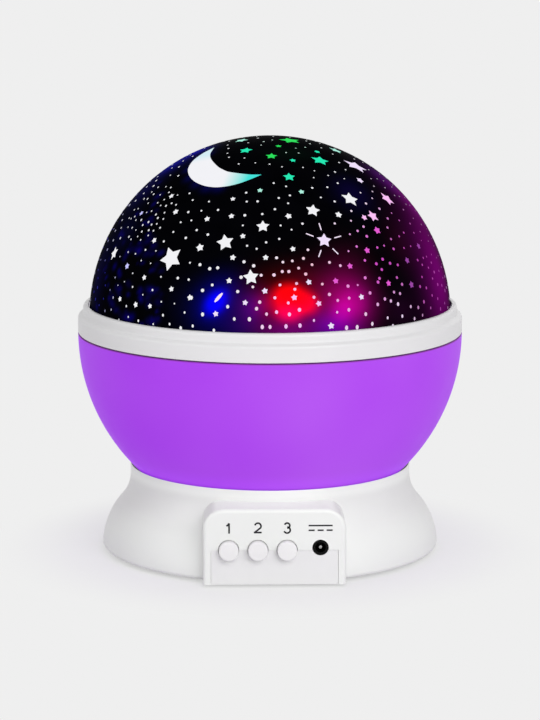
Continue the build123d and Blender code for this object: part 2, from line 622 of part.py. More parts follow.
# ---- drive ---------------------------------------------------------------------------------
def involute(angle):
    """The involute function tan(a) - a."""
    return tan(angle) - angle


def half_angle(radius, pitch_r, teeth, widen):
    """Half the angle of an involute tooth at a radius; widen is added to its width at the pitch circle."""
    base_r = pitch_r * cos(PRESSURE_ANGLE)
    at_pitch = pi / (2 * teeth) + widen / (2 * pitch_r)
    pressure = acos(min(1.0, base_r / radius))
    return at_pitch + involute(PRESSURE_ANGLE) - involute(pressure)


def toothed(teeth, pitch_r, inner_r, outer_r, widen):
    """An outline with involute teeth between two radii; below the base circle the flanks run straight in."""
    base_r = pitch_r * cos(PRESSURE_ANGLE)
    start_r = max(inner_r, base_r)
    middle_r = (start_r + outer_r) / 2
    pitch = 2 * pi / teeth
    edges = []
    for i in range(teeth):
        centre = i * pitch
        foot = half_angle(start_r, pitch_r, teeth, widen)
        waist = half_angle(middle_r, pitch_r, teeth, widen)
        tip = half_angle(outer_r, pitch_r, teeth, widen)
        if inner_r < base_r:
            edges.append(Line(polar(inner_r, centre - foot), polar(start_r, centre - foot)))
            edges.append(Line(polar(start_r, centre + foot), polar(inner_r, centre + foot)))
        for side in (-1, 1):
            edges.append(ThreePointArc(polar(start_r, centre + side * foot),
                                       polar(middle_r, centre + side * waist),
                                       polar(outer_r, centre + side * tip)))
        edges.append(ThreePointArc(polar(outer_r, centre - tip), polar(outer_r, centre),
                                   polar(outer_r, centre + tip)))
        edges.append(ThreePointArc(polar(inner_r, centre + foot), polar(inner_r, centre + pitch / 2),
                                   polar(inner_r, centre + pitch - foot)))
    return make_face(edges)


def turntable_screw_points():
    """The three screws that join the turntable and the bowl."""
    return around(TURNTABLE_SCREW_CIRCLE_R, TURNTABLE_SCREW_COUNT, TURNTABLE_SCREW_ANGLE)


def turntable_gear():
    """The disc under the bowl: a hub on the spindle, and an internal ring gear hanging from its edge."""
    body = disc(RING_OUTER_R, DISC_BOTTOM_Z - GEAR_H, BOWL_FLOOR_Z)
    tip_r = RING_PITCH_R - MODULE * RING_ADDENDUM
    spaces = extrude(toothed(RING_TEETH, RING_PITCH_R, tip_r, RING_ROOT_R, BACKLASH / 2), GEAR_H)
    body -= Pos(0, 0, DISC_BOTTOM_Z - GEAR_H) * spaces
    body += disc(HUB_OUTER_R, HUB_BOTTOM_Z, SPINDLE_TOP_Z - FIT_GAP)
    body -= disc(SPINDLE_R + RUN_GAP, HUB_BOTTOM_Z, SPINDLE_TOP_Z)
    for x, y in turntable_screw_points():
        body -= disc(SMALL_SCREW_R + RUN_GAP, DISC_BOTTOM_Z, BOWL_FLOOR_Z, x, y)
    return body


def turntable_screws():
    """Three screws up through the turntable into the bowl's floor."""
    one = screw(SMALL_SCREW_R, TURNTABLE_SCREW_LENGTH, SMALL_HEAD_R, SMALL_HEAD_T)
    return group([Pos(x, y, DISC_BOTTOM_Z) * one for x, y in turntable_screw_points()])


def thrust_washer():
    """The nylon washer that carries the ball on the deck."""
    washer = disc(SPINDLE_R + RUN_GAP + WASHER_W, DECK_TOP_Z, DECK_TOP_Z + WASHER_T)
    return washer - disc(SPINDLE_R + RUN_GAP, DECK_TOP_Z, DECK_TOP_Z + WASHER_T)


def drive_motor():
    """The geared motor under the deck, held by two ears, with a terminal block in front."""
    body = disc(MOTOR_R, DECK_BOTTOM_Z - MOTOR_H, DECK_BOTTOM_Z)
    body = fillet(body.edges().group_by(Axis.Z)[0], MOTOR_EDGE_R)
    body += disc(MOTOR_BOSS_R, DECK_BOTTOM_Z, DECK_BOTTOM_Z + MOTOR_BOSS_H)
    ear_end = MOTOR_EAR_X + MOTOR_EAR_END
    body += bar(-ear_end, ear_end, -MOTOR_EAR_END, MOTOR_EAR_END, DECK_BOTTOM_Z - MOTOR_EAR_T, DECK_BOTTOM_Z)
    body += bar(-TERMINAL_HALF_W, TERMINAL_HALF_W, -TERMINAL_REACH, 0,
                DECK_BOTTOM_Z - FIT_GAP - TERMINAL_H, DECK_BOTTOM_Z - FIT_GAP)
    body -= disc(SHAFT_R + RUN_GAP, DECK_BOTTOM_Z - SHAFT_DEPTH, DECK_BOTTOM_Z + MOTOR_BOSS_H)
    for x in (-MOTOR_EAR_X, MOTOR_EAR_X):
        body -= disc(SMALL_SCREW_R + RUN_GAP, DECK_BOTTOM_Z - MOTOR_EAR_T, DECK_BOTTOM_Z, x, 0)
    return Pos(0, DRIVE_Y, 0) * body


def motor_screws():
    """Two screws up through the motor's ears into the deck."""
    one = screw(SMALL_SCREW_R, MOTOR_EAR_T + DECK_T - RUN_GAP, SMALL_HEAD_R, SMALL_HEAD_T)
    seat = DECK_BOTTOM_Z - MOTOR_EAR_T
    return group([Pos(x, DRIVE_Y, seat) * one for x in (-MOTOR_EAR_X, MOTOR_EAR_X)])


def motor_shaft():
    """The motor's output shaft."""
    top = DECK_TOP_Z + PINION_LIFT + PINION_H
    return disc(SHAFT_R, DECK_BOTTOM_Z - SHAFT_DEPTH + FIT_GAP, top, 0, DRIVE_Y)


def drive_pinion():
    """The small gear on the motor's shaft, in mesh with the ring gear."""
    tip_r = PINION_PITCH_R + MODULE * PINION_ADDENDUM
    root_r = PINION_PITCH_R - MODULE * (RING_ADDENDUM + TIP_CLEARANCE)
    gear = extrude(toothed(PINION_TEETH, PINION_PITCH_R, root_r, tip_r, -BACKLASH / 2), PINION_H)
    gear -= Pos(0, 0, PINION_H / 2) * Cylinder(SHAFT_R, PINION_H)
    return Pos(0, DRIVE_Y, DECK_TOP_Z + PINION_LIFT) * gear


# ---- ball ----------------------------------------------------------------------------------
def sphere_point(radius, centre_z, z):
    """The point of a sphere's outline at a height."""
    return (sqrt(radius**2 - (z - centre_z) ** 2), z)


def sphere_arc(radius, centre_z, z0, z1):
    """The arc of a sphere's outline between two heights."""
    a0 = asin((z0 - centre_z) / radius)
    a1 = asin((z1 - centre_z) / radius)
    middle = (a0 + a1) / 2
    return ThreePointArc(sphere_point(radius, centre_z, z0),
                         (radius * cos(middle), centre_z + radius * sin(middle)),
                         sphere_point(radius, centre_z, z1))


def bowl():
    """The coloured bowl: a hemisphere with a flat floor, a hole for the hub and three screw bosses."""
    inner_r = BOWL_R - BOWL_WALL
    floor_top = BOWL_FLOOR_Z + BOWL_WALL
    hole_r = HUB_OUTER_R + FIT_GAP
    outline = [
        Line((hole_r, BOWL_FLOOR_Z), sphere_point(BOWL_R, EQUATOR_Z, BOWL_FLOOR_Z)),
        sphere_arc(BOWL_R, EQUATOR_Z, BOWL_FLOOR_Z, EQUATOR_Z),
        Line((BOWL_R, EQUATOR_Z), (inner_r, EQUATOR_Z)),
        sphere_arc(inner_r, EQUATOR_Z, EQUATOR_Z, floor_top),
        Line(sphere_point(inner_r, EQUATOR_Z, floor_top), (hole_r, floor_top)),
        Line((hole_r, floor_top), (hole_r, BOWL_FLOOR_Z)),
    ]
    body = turned(outline)
    for x, y in turntable_screw_points():
        body += disc(BOWL_BOSS_R, floor_top, floor_top + BOWL_BOSS_H, x, y)
        tip = DISC_BOTTOM_Z + TURNTABLE_SCREW_LENGTH + FIT_GAP
        body -= disc(SMALL_SCREW_R + THREAD_GAP, BOWL_FLOOR_Z, tip, x, y)
    return body


def shade_ring():
    """The white ring: a wide band, a narrower lip round the dome, a ledge, and a spigot for the bowl."""
    inner_r = DOME_R + FIT_GAP
    ledge_r = inner_r - LEDGE_W
    ledge_bottom = LEDGE_TOP_Z - LEDGE_T
    spigot_r = BOWL_R - BOWL_WALL - 2 * FIT_GAP
    spigot_bottom = EQUATOR_Z - SPIGOT_DEPTH
    corners = [
        ((BOWL_R, RING_BOTTOM_Z), SOFT_EDGE_R),
        ((BOWL_R, BAND_TOP_Z), BAND_EDGE_R),
        ((LIP_R, BAND_TOP_Z + BAND_SLOPE), SOFT_EDGE_R),
        ((LIP_R, LIP_TOP_Z), LIP_EDGE_R),
        ((inner_r, LIP_TOP_Z), SOFT_EDGE_R),
        ((inner_r, LEDGE_TOP_Z), 0),
        ((ledge_r, LEDGE_TOP_Z), SOFT_EDGE_R),
        ((ledge_r, ledge_bottom), SOFT_EDGE_R),
        ((spigot_r - SPIGOT_WALL, ledge_bottom), 0),
        ((spigot_r - SPIGOT_WALL, spigot_bottom), SOFT_EDGE_R),
        ((spigot_r, spigot_bottom), SPIGOT_EDGE_R),
        ((spigot_r, RING_BOTTOM_Z), 0),
    ]
    outline = FilletPolyline([p for p, _ in corners], radius=[r for _, r in corners], close=True)
    return turned(outline)


def star_dome():
    """The thin dark dome that carries the star print, standing on the ring's ledge."""
    ball = Sphere(DOME_R) - Sphere(DOME_R - DOME_WALL)
    return Pos(0, 0, DOME_CENTRE_Z) * ball - disc(2 * DOME_R, 0, LEDGE_TOP_Z)


# ---- lamp column ---------------------------------------------------------------------------
def lamp_screw_points():
    """The two screws that hold the lamp board on the column's table."""
    return around(LAMP_SCREW_CIRCLE_R, LAMP_SCREW_COUNT, LAMP_SCREW_ANGLE)


def light_column():
    """The fixed hollow column that lifts the lamps to the dome's centre; its flange keeps the ball down."""
    flange_top = SPINDLE_TOP_Z + FLANGE_T
    table_bottom = COLUMN_TOP_Z - TABLE_T
    body = disc(FLANGE_R, SPINDLE_TOP_Z, flange_top)
    body += disc(COLUMN_R, SPINDLE_TOP_Z, COLUMN_TOP_Z)
    body += disc(TABLE_R, table_bottom, COLUMN_TOP_Z)
    root = COLUMN_R - GUSSET_INSET
    tip = TABLE_R - GUSSET_INSET
    gusset = make_face(Polyline((root, table_bottom), (tip, table_bottom), (root, table_bottom - GUSSET_H),
                                close=True))
    for i in range(GUSSET_COUNT):
        blade = Pos(0, GUSSET_T / 2, 0) * extrude(Plane.XZ * gusset, GUSSET_T)
        body += Rot(0, 0, 360 / GUSSET_COUNT * i) * blade
    body -= disc(COLUMN_R - COLUMN_WALL, SPINDLE_TOP_Z, COLUMN_TOP_Z)
    for x, y in around(COLUMN_SCREW_CIRCLE_R, COLUMN_SCREW_COUNT, COLUMN_SCREW_ANGLE):
        body -= disc(SMALL_SCREW_R + RUN_GAP, SPINDLE_TOP_Z, flange_top, x, y)
        body -= disc(SMALL_HEAD_R + RUN_GAP, flange_top, flange_top + SMALL_HEAD_T, x, y)
    for x, y in lamp_screw_points():
        body -= disc(SMALL_SCREW_R + THREAD_GAP, table_bottom, COLUMN_TOP_Z, x, y)
    return body


def column_screws():
    """Three screws down through the column's flange into the spindle."""
    one = screw(SMALL_SCREW_R, COLUMN_SCREW_LENGTH, SMALL_HEAD_R, SMALL_HEAD_T, up=False)
    seat = SPINDLE_TOP_Z + FLANGE_T
    points = around(COLUMN_SCREW_CIRCLE_R, COLUMN_SCREW_COUNT, COLUMN_SCREW_ANGLE)
    return group([Pos(x, y, seat) * one for x, y in points])


def lamp_board():
    """The round circuit board on the column's head."""
    board = disc(TABLE_R, COLUMN_TOP_Z, COLUMN_TOP_Z + PCB_T)
    for x, y in lamp_screw_points():
        board -= disc(SMALL_SCREW_R + RUN_GAP, COLUMN_TOP_Z, COLUMN_TOP_Z + PCB_T, x, y)
    return board


def lamp_board_screws():
    """Two screws down through the lamp board."""
    one = screw(SMALL_SCREW_R, PCB_T + TABLE_T, SMALL_HEAD_R, SMALL_HEAD_T, up=False)
    seat = COLUMN_TOP_Z + PCB_T
    return group([Pos(x, y, seat) * one for x, y in lamp_screw_points()])


def led(x, y):
    """A round 5 mm lamp standing on the lamp board."""
    foot = COLUMN_TOP_Z + PCB_T
    top = foot + LED_STRAIGHT
    body = disc(LED_R, foot, top, x, y) + disc(LED_FLANGE_R, foot, foot + LED_FLANGE_T, x, y)
    return body + Pos(x, y, top) * Sphere(LED_R)


# ---- leads ---------------------------------------------------------------------------------
def lead(points, bends):
    """A round lead along straight runs joined by arcs."""
    path = FilletPolyline(points, radius=bends)
    section = Plane(origin=path @ 0, z_dir=path % 0) * Circle(LEAD_R)
    return sweep(section, path=path)


def lamp_lead():
    """From the control board over the battery bay, then up the column to the lamp board."""
    return lead([(0, BOARD_BACK_Y, LEAD_Z), (0, 0, LEAD_Z), (0, 0, COLUMN_TOP_Z)], [LEAD_BEND_R])


def motor_lead():
    """From the control board over the battery bay to the motor's terminal block, bowed a little sideways."""
    end_y = DRIVE_Y - TERMINAL_REACH
    bow_x = MOTOR_LEAD_X - LEAD_SWAY
    points = [
        (MOTOR_LEAD_X, BOARD_BACK_Y, LEAD_Z),
        (MOTOR_LEAD_X, BOARD_BACK_Y + LEAD_RUN, LEAD_Z),
        (bow_x, BOARD_BACK_Y + 2 * LEAD_RUN, LEAD_Z),
        (bow_x, end_y - 2 * LEAD_RUN, LEAD_Z),
        (MOTOR_LEAD_X, end_y - LEAD_RUN, LEAD_Z),
        (MOTOR_LEAD_X, end_y, LEAD_Z),
    ]
    return lead(points, [MOTOR_LEAD_BEND_R] * 4)


def battery_lead():
    """From the control board to the solder tab of the front cell."""
    tab_x = BAY_LENGTH / 2 - CONTACT_T
    y = cell_y(0)
    return lead([(BATTERY_LEAD_X, BOARD_BACK_Y, LEAD_Z), (BATTERY_LEAD_X, y, LEAD_Z), (tab_x, y, LEAD_Z)],
                [LEAD_BEND_R])


def all_nodes():
    """Every node by name."""
    nodes = {
        "base_housing": base_housing(),
        "bottom_cover": bottom_cover(),
        "rubber_feet": rubber_feet(),
        "cover_screws": cover_screws(),
        "battery_door": battery_door(),
        "door_screw": door_screw(),
        "aaa_cells": aaa_cells(),
        "battery_contacts": battery_contacts(),
        "battery_springs": battery_springs(),
        "control_board": control_board(),
        "tact_switches": tact_switches(),
        "dc_jack": dc_jack(),
        "dc_jack_pin": dc_jack_pin(),
        "thrust_washer": thrust_washer(),
        "turntable_gear": turntable_gear(),
        "turntable_screws": turntable_screws(),
        "drive_motor": drive_motor(),
        "motor_screws": motor_screws(),
        "motor_shaft": motor_shaft(),
        "drive_pinion": drive_pinion(),
        "bowl": bowl(),
        "shade_ring": shade_ring(),
        "star_dome": star_dome(),
        "light_column": light_column(),
        "column_screws": column_screws(),
        "lamp_board": lamp_board(),
        "lamp_board_screws": lamp_board_screws(),
        "led_white": led(0, 0),
        "lamp_lead": lamp_lead(),
        "motor_lead": motor_lead(),
        "battery_lead": battery_lead(),
    }
    for number, x in enumerate(BUTTON_X, 1):
        nodes[f"button_{number}"] = button(x)
        nodes[f"switch_plunger_{number}"] = switch_plunger(x)
    for name, angle in LED_ANGLES.items():
        nodes[name] = led(*polar(LED_CIRCLE_R, radians(angle)))
    return nodes


os.makedirs("parts", exist_ok=True)
for name, shape in all_nodes().items():
    export_step(shape, f"parts/{name}.step")
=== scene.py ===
"""Rotating star night light, dressed piece by piece round its packed construction.
Metres, +Z up, the control panel towards -Y.
"""
from contextlib import contextmanager
from itertools import product
from math import atan2, cos, hypot, pi, radians, sin, sqrt

import bmesh
import bpy
import numpy as np
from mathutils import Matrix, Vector


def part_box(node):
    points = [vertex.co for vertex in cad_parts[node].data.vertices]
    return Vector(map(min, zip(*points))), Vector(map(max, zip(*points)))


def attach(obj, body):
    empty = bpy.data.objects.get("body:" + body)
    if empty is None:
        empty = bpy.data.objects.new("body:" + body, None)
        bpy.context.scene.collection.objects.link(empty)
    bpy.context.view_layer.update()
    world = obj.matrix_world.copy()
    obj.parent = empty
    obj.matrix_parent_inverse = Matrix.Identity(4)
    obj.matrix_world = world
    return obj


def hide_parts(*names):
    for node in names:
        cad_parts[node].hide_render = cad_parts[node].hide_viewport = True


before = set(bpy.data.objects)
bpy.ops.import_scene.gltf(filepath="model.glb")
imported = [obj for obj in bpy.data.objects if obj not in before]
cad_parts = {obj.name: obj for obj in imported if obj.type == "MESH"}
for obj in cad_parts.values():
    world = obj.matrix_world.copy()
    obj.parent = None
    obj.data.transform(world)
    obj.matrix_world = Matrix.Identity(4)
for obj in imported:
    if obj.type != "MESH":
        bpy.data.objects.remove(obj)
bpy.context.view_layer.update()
MM = 0.001


# ---- base housing ----
# The flared white shell that the lamp stands on, moulded in glossy ABS in one piece with its deck, its
# spindle tube and the control panel's surround. The panel stands out of the flare as an upright block with a
# soft front edge, and its lower front is left open for the bottom cover's apron.
def arc(centre, radius, start, end, steps):
    """Points of a circle's arc between two angles: centre plus radius times cosine and sine."""
    angle = np.linspace(start, end, steps)[:, None]
    return np.array(centre) + radius * np.hstack([np.cos(angle), np.sin(angle)])


def turn_round(profile, steps=256):
    """A profile of (radius, height) points carried round Z: x = r cos a, y = r sin a, z = h."""
    angle = np.linspace(0, 2 * pi, steps + 1)[:, None]
    radius, height = profile.T
    return np.stack([radius * np.cos(angle), radius * np.sin(angle), height + 0 * angle], -1)


def closed(profile):
    """The profile with its first point again at the end."""
    return np.vstack([profile, profile[:1]])


def placed(name, data):
    """A new object in the scene that holds a mesh, a lamp or a camera."""
    made = bpy.data.objects.new(name, data)
    bpy.context.scene.collection.objects.link(made)
    return made


def from_points(name, points, faces):
    """A new piece from points in millimetres and the faces between them."""
    mesh = bpy.data.meshes.new(name)
    mesh.from_pydata((np.array(points) * MM).tolist(), [], faces)
    return placed(name, mesh)


@contextmanager
def edited(mesh):
    """A mesh opened for changes and written back after them."""
    work = bmesh.new()
    work.from_mesh(mesh)
    yield work
    work.to_mesh(mesh)
    work.free()


SHARP_EDGE = radians(32)


def surface(name, patches, caps=()):
    """One mesh from grids of points (rows, columns, 3) in millimetres: four neighbours make a face, points
    that coincide are joined, which closes seams and poles, and edges under the sharp angle are shaded
    smooth."""
    points, faces, count = [], [], 0
    for patch in patches:
        rows, columns = patch.shape[:2]
        index = count + np.arange(rows * columns).reshape(rows, columns)
        corners = [index[:-1, :-1], index[1:, :-1], index[1:, 1:], index[:-1, 1:]]
        faces += np.stack(corners, -1).reshape(-1, 4).tolist()
        points.append(patch.reshape(-1, 3))
        count += rows * columns
    for cap in caps:
        faces.append(list(range(count, count + len(cap))))
        points.append(np.array(cap))
        count += len(cap)
    piece = from_points(name, np.concatenate(points), faces)
    with edited(piece.data) as work:
        bmesh.ops.remove_doubles(work, verts=work.verts, dist=0.0005 * MM)
        bmesh.ops.dissolve_degenerate(work, edges=work.edges, dist=0.0002 * MM)
        bmesh.ops.recalc_face_normals(work, faces=work.faces)
    piece.data.shade_smooth()
    piece.data.set_sharp_from_angle(angle=SHARP_EDGE)
    return piece


def fit(piece, material, slot, body, *nodes):
    """Gives a piece its finish, the body it moves with and the nodes it stands for, which are hidden. The
    slot is not used.
    """
    piece.data.materials.clear()
    piece.data.materials.append(material)
    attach(piece, body)
    if nodes:
        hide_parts(*nodes)
    return piece


def feed(target, inputs):
    """Sets a node's inputs by name or number, each to a number, a colour or another node's output."""
    for key, value in inputs.items():
        if isinstance(value, bpy.types.NodeSocket):
            target.id_data.links.new(value, target.inputs[key])
        else:
            target.inputs[key].default_value = value if isinstance(value, (int, float)) else (*value, 1)


def node(tree, kind, inputs, output=0):
    """A new shader node with its inputs set. Returns one of its outputs."""
    made = tree.nodes.new(f"ShaderNode{kind}")
    feed(made, inputs)
    return made.outputs[output]


def noise(tree, scale, detail=2.0):
    """Noise in the piece's own space; scale is in cycles for each metre."""
    place = node(tree, "TexCoord", {}, "Object")
    return node(tree, "TexNoise", {"Vector": place, "Scale": scale, "Detail": detail})


def upward(tree, what="Object"):
    """How high a point lies in the piece's own space, or, with Normal, how far its surface faces up."""
    return node(tree, "SeparateXYZ", {"Vector": node(tree, "TexCoord", {}, what)}, "Z")


def ranged(tree, value, low, high, start=0.3, end=0.7, soft=False):
    """Maps start to end onto low to high, straight or in a soft S. Noise mostly lies from 0.3 to 0.7."""
    made = node(tree, "MapRange", {"Value": value, "From Min": start, "From Max": end,
                                   "To Min": low, "To Max": high})
    made.node.interpolation_type = "SMOOTHSTEP" if soft else "LINEAR"
    return made


def joined(tree, operation, first, second):
    """Two values joined by arithmetic."""
    made = node(tree, "Math", {0: first, 1: second})
    made.node.operation = operation
    return made


def toned(name, first, second, scale, detail=2.0):
    """A new material whose colour wanders between two tones by noise. Returns it, its nodes and its
    shader."""
    material = bpy.data.materials.new(name)
    material.use_nodes = True
    tree = material.node_tree
    mix = tree.nodes.new("ShaderNodeMix")
    mix.data_type = "RGBA"
    feed(mix, {"Factor": ranged(tree, noise(tree, scale, detail), 0, 1), "A": first, "B": second})
    shader = tree.nodes["Principled BSDF"]
    feed(shader, {"Base Color": mix.outputs["Result"]})
    return material, tree, shader


GRAIN_DEPTH = 0.02 * MM


def moulded(name, colour, roughness, tone=0.03, grain=0.15, grain_scale=2600, specular=0.5):
    """Moulded plastic: faint flow marks in the colour, a slightly uneven sheen and a fine grain in the
    surface."""
    material, tree, shader = toned(name, [c * (1 - tone) for c in colour], colour, 22)
    bump = node(tree, "Bump", {"Height": noise(tree, grain_scale, 3), "Strength": grain,
                               "Distance": GRAIN_DEPTH})
    feed(shader, {"Roughness": ranged(tree, noise(tree, 90, 4), roughness * 0.88, roughness * 1.12),
                  "Specular IOR Level": specular, "Normal": bump})
    return material


BOWL_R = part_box("bowl")[1].x / MM
EQUATOR_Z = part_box("bowl")[1].z / MM
BASE_BOTTOM_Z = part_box("base_housing")[0].z / MM
FOOT_R = 59.1
NECK_R = 49.1
FLARE_TOP_Z = 27.0
FLARE_LOWER_R = 24.0
BASE_WALL = 2.2
FOOT_EDGE_R = 1.5
RIM_GAP = 0.5
RIM_EDGE = 0.3
DECK_BOTTOM_Z = 19.0
DECK_TOP_Z = 21.0
SPINDLE_R = 12.0
SPINDLE_BORE_R = 9.0
SPINDLE_TOP_Z = 29.0
PANEL_HALF_W = 23.95
PANEL_FRONT_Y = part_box("base_housing")[0].y / MM
PANEL_TOP_Z = 26.8
PANEL_CORNER_R = 7.0
PANEL_EDGE_R = 1.3
PANEL_WALL = 2.0
PANEL_BACK_Y = -47.6
SLOT_HALF_W = 21.36
SLOT_TOP_Z = 12.8
BUTTON_X = [sum(corner.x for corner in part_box(f"button_{i}")) / 2 / MM for i in (1, 2, 3)]
BUTTON_Z = 12.9
BUTTON_HOLE_R = 3.5
JACK_X = 15.3
JACK_Z = 13.6
JACK_HOLE_R = 2.75

drop = FOOT_R - NECK_R
rise = FLARE_TOP_Z - BASE_BOTTOM_Z
flare_turn = 2 * atan2(drop, rise)
flare_upper_r = (drop**2 + rise**2) / (2 * drop) - FLARE_LOWER_R
lower_centre = (FOOT_R - FLARE_LOWER_R, BASE_BOTTOM_Z)
upper_centre = (NECK_R + flare_upper_r, FLARE_TOP_Z)


def rim_height(radius):
    """Where the base's rim stands at a radius: on a sphere that clears the turning bowl by the gap, at the
    equator's height less the root of the sphere's radius squared less the radius squared."""
    return EQUATOR_Z - sqrt((BOWL_R + RIM_GAP) ** 2 - radius**2)


def inner_flare(height):
    """The angle on the inner upper arc at a height: half a turn plus the arc sine of the drop below the arc's
    centre over its radius."""
    return pi + np.arcsin((FLARE_TOP_Z - height) / (flare_upper_r + BASE_WALL))


def housing_profile():
    """The section of the round shell: foot, flare, rim, inside of the neck, deck, spindle, inside of the
    flare."""
    inside = flare_upper_r + BASE_WALL
    foot_centre = (lower_centre[0] + sqrt((FLARE_LOWER_R - FOOT_EDGE_R) ** 2 - FOOT_EDGE_R**2),
                   BASE_BOTTOM_Z + FOOT_EDGE_R)
    foot_angle = atan2(FOOT_EDGE_R, foot_centre[0] - lower_centre[0])
    inner_r = NECK_R - BASE_WALL
    runs = [
        arc(foot_centre, FOOT_EDGE_R, -pi / 2, foot_angle, 8),
        arc(lower_centre, FLARE_LOWER_R, foot_angle, flare_turn, 26)[1:],
        arc(upper_centre, flare_upper_r, pi + flare_turn, pi, 18)[1:],
        [(NECK_R, rim_height(NECK_R) - RIM_EDGE), (NECK_R - RIM_EDGE / 3, rim_height(NECK_R) - RIM_EDGE / 4)],
        [(r, rim_height(r)) for r in np.linspace(NECK_R - RIM_EDGE, inner_r, 6)],
        [(inner_r, FLARE_TOP_Z)],
        arc(upper_centre, inside, pi, inner_flare(DECK_TOP_Z), 8)[1:],
        [(SPINDLE_R, DECK_TOP_Z), (SPINDLE_R, SPINDLE_TOP_Z), (SPINDLE_BORE_R, SPINDLE_TOP_Z),
         (SPINDLE_BORE_R, DECK_BOTTOM_Z)],
        arc(upper_centre, inside, inner_flare(DECK_BOTTOM_Z), pi + flare_turn, 8),
        arc(lower_centre, FLARE_LOWER_R - BASE_WALL, flare_turn, 0, 14)[1:],
    ]
    return closed(np.vstack([np.array(run).reshape(-1, 2) for run in runs]))


def notched_edge():
    """The lower outline of the panel's face, left to right: up the open slot's side, along its top with a
    half-round notch over each button and one over the socket, and down the other side."""
    reached = -SLOT_HALF_W
    line = [[(reached, z) for z in np.linspace(BASE_BOTTOM_Z, SLOT_TOP_Z, 8)[:-1]]]
    for x, z, radius in [(x, BUTTON_Z, BUTTON_HOLE_R) for x in BUTTON_X] + [(JACK_X, JACK_Z, JACK_HOLE_R)]:
        line.append(np.linspace((reached, SLOT_TOP_Z), (x - radius, SLOT_TOP_Z), 8))
        line.append(arc((x, z), radius, pi, 0, 29))
        reached = x + radius
    line.append(np.linspace((reached, SLOT_TOP_Z), (SLOT_HALF_W, SLOT_TOP_Z), 12))
    line.append([(SLOT_HALF_W, z) for z in np.linspace(SLOT_TOP_Z, BASE_BOTTOM_Z, 8)[1:]])
    return np.vstack(line)


def panel_outline(inner):
    """For each point of the notched edge, the facing point of the panel's outer outline and the outward
    direction there: straight across at the slot and the flat top, in equal shares along the side and the
    rounded corner. Points only go forward from left to right, so that no face folds back."""
    across = np.maximum.accumulate(inner[:, 0])
    straight = PANEL_HALF_W - PANEL_CORNER_R
    side_rise = PANEL_TOP_Z - PANEL_CORNER_R - SLOT_TOP_Z
    corner_length = PANEL_CORNER_R * pi / 2
    side = np.sign(across)
    share = np.clip((SLOT_HALF_W - np.abs(across)) / (SLOT_HALF_W - straight), 0, 1)
    length = share * (side_rise + corner_length)
    angle = np.clip(length - side_rise, 0, None) / PANEL_CORNER_R
    out = np.stack([side * np.cos(angle), np.sin(angle)], -1)
    centre = np.stack([side * straight, np.minimum(SLOT_TOP_Z + length, PANEL_TOP_Z - PANEL_CORNER_R)], -1)
    outer = centre + PANEL_CORNER_R * out
    flat = np.abs(across) < straight
    outer[flat] = np.stack([across[flat], np.full(flat.sum(), PANEL_TOP_Z)], -1)
    out[flat] = (0, 1)
    low = inner[:, 1] < SLOT_TOP_Z - 0.01
    outer[low, 1] = inner[low, 1]
    return outer, out


def shell_radius(height):
    """The round shell's outer radius at a height, by the circle's equation: on the foot's arc below their
    join, on the neck's arc above it."""
    on_foot = lower_centre[0] + np.sqrt(np.maximum(FLARE_LOWER_R**2 - (height - BASE_BOTTOM_Z) ** 2, 0))
    on_neck = upper_centre[0] - np.sqrt(np.maximum(flare_upper_r**2 - (FLARE_TOP_Z - height) ** 2, 0))
    return np.where(height < BASE_BOTTOM_Z + FLARE_LOWER_R * sin(flare_turn), on_foot, on_neck)


def block_back(plan):
    """Where each point of the block's outline ends at the back: at the pocket's mouth, or in the middle of
    the round shell's wall where that lies further back."""
    wall_middle = shell_radius(plan[:, 1]) - BASE_WALL / 2
    return np.maximum(PANEL_BACK_Y, -np.sqrt(wall_middle**2 - plan[:, 0] ** 2))


def upright(*rows):
    """A grid from rows of (x, z) points, each stood up at its depth, and the outlines of its two ends."""
    stood = [np.stack([plan[:, 0], np.broadcast_to(y, len(plan)), plan[:, 1]], -1) for plan, y in rows]
    grid = np.stack(stood)
    return grid, [grid[:-1, 0], grid[:-1, -1]]


def panel_block():
    """The panel's surround as one closed skin: each point of the notched edge carries a section that runs out
    over the face, round the soft edge, back along the side, and home along the inside of the wall."""
    inner = notched_edge()
    outer, out = panel_outline(inner)
    front, back = PANEL_FRONT_Y, PANEL_FRONT_Y + PANEL_WALL
    within = outer - out * PANEL_WALL
    edge = [(outer - out * (PANEL_EDGE_R * (1 - sin(angle))), front + PANEL_EDGE_R * (1 - cos(angle)))
            for angle in np.linspace(0, pi / 2, 8)]
    return upright((inner, front), (outer - out * PANEL_EDGE_R * 1.1, front), *edge,
                   (outer, front + PANEL_EDGE_R * 1.15), (outer, block_back(outer)),
                   (within, block_back(within)), (within, back), (inner, back), (inner, front))


def cut_away(piece, low, high):
    """Takes a block between two corners, in millimetres, out of a closed piece."""
    faces = [(0, 1, 3, 2), (4, 6, 7, 5), (0, 4, 5, 1), (2, 3, 7, 6), (0, 2, 6, 4), (1, 5, 7, 3)]
    block = from_points("cutter", list(product(*zip(low, high))), faces)
    cut = piece.modifiers.new("cut", "BOOLEAN")
    cut.operation = "DIFFERENCE"
    cut.solver = "EXACT"
    cut.object = block
    bpy.context.view_layer.update()
    whole = piece.evaluated_get(bpy.context.evaluated_depsgraph_get())
    trimmed = bpy.data.meshes.new_from_object(whole)
    piece.modifiers.clear()
    piece.data = trimmed
    bpy.data.objects.remove(block)


SCREW_CIRCLE_R = 48.0
SCREW_ANGLE = radians(40)
BOSS_R = 3.2
BOSS_LOW_Z = 3.2
BOSS_TOP_Z = DECK_BOTTOM_Z + 0.5
# Painted light on the white shell: its colour, the heights over which it rises, and its strength on faces
# that point up.
PAINTED_LIGHT_COLOUR = (0.072, 0.08, 0.07)
PAINTED_LIGHT_LOW_Z = PANEL_TOP_Z - 1.3
PAINTED_LIGHT_HIGH_Z = PANEL_TOP_Z + 1.7
PAINTED_LIGHT_ON_TOP = 2.0
FACING_UP = (0.8, 0.97)

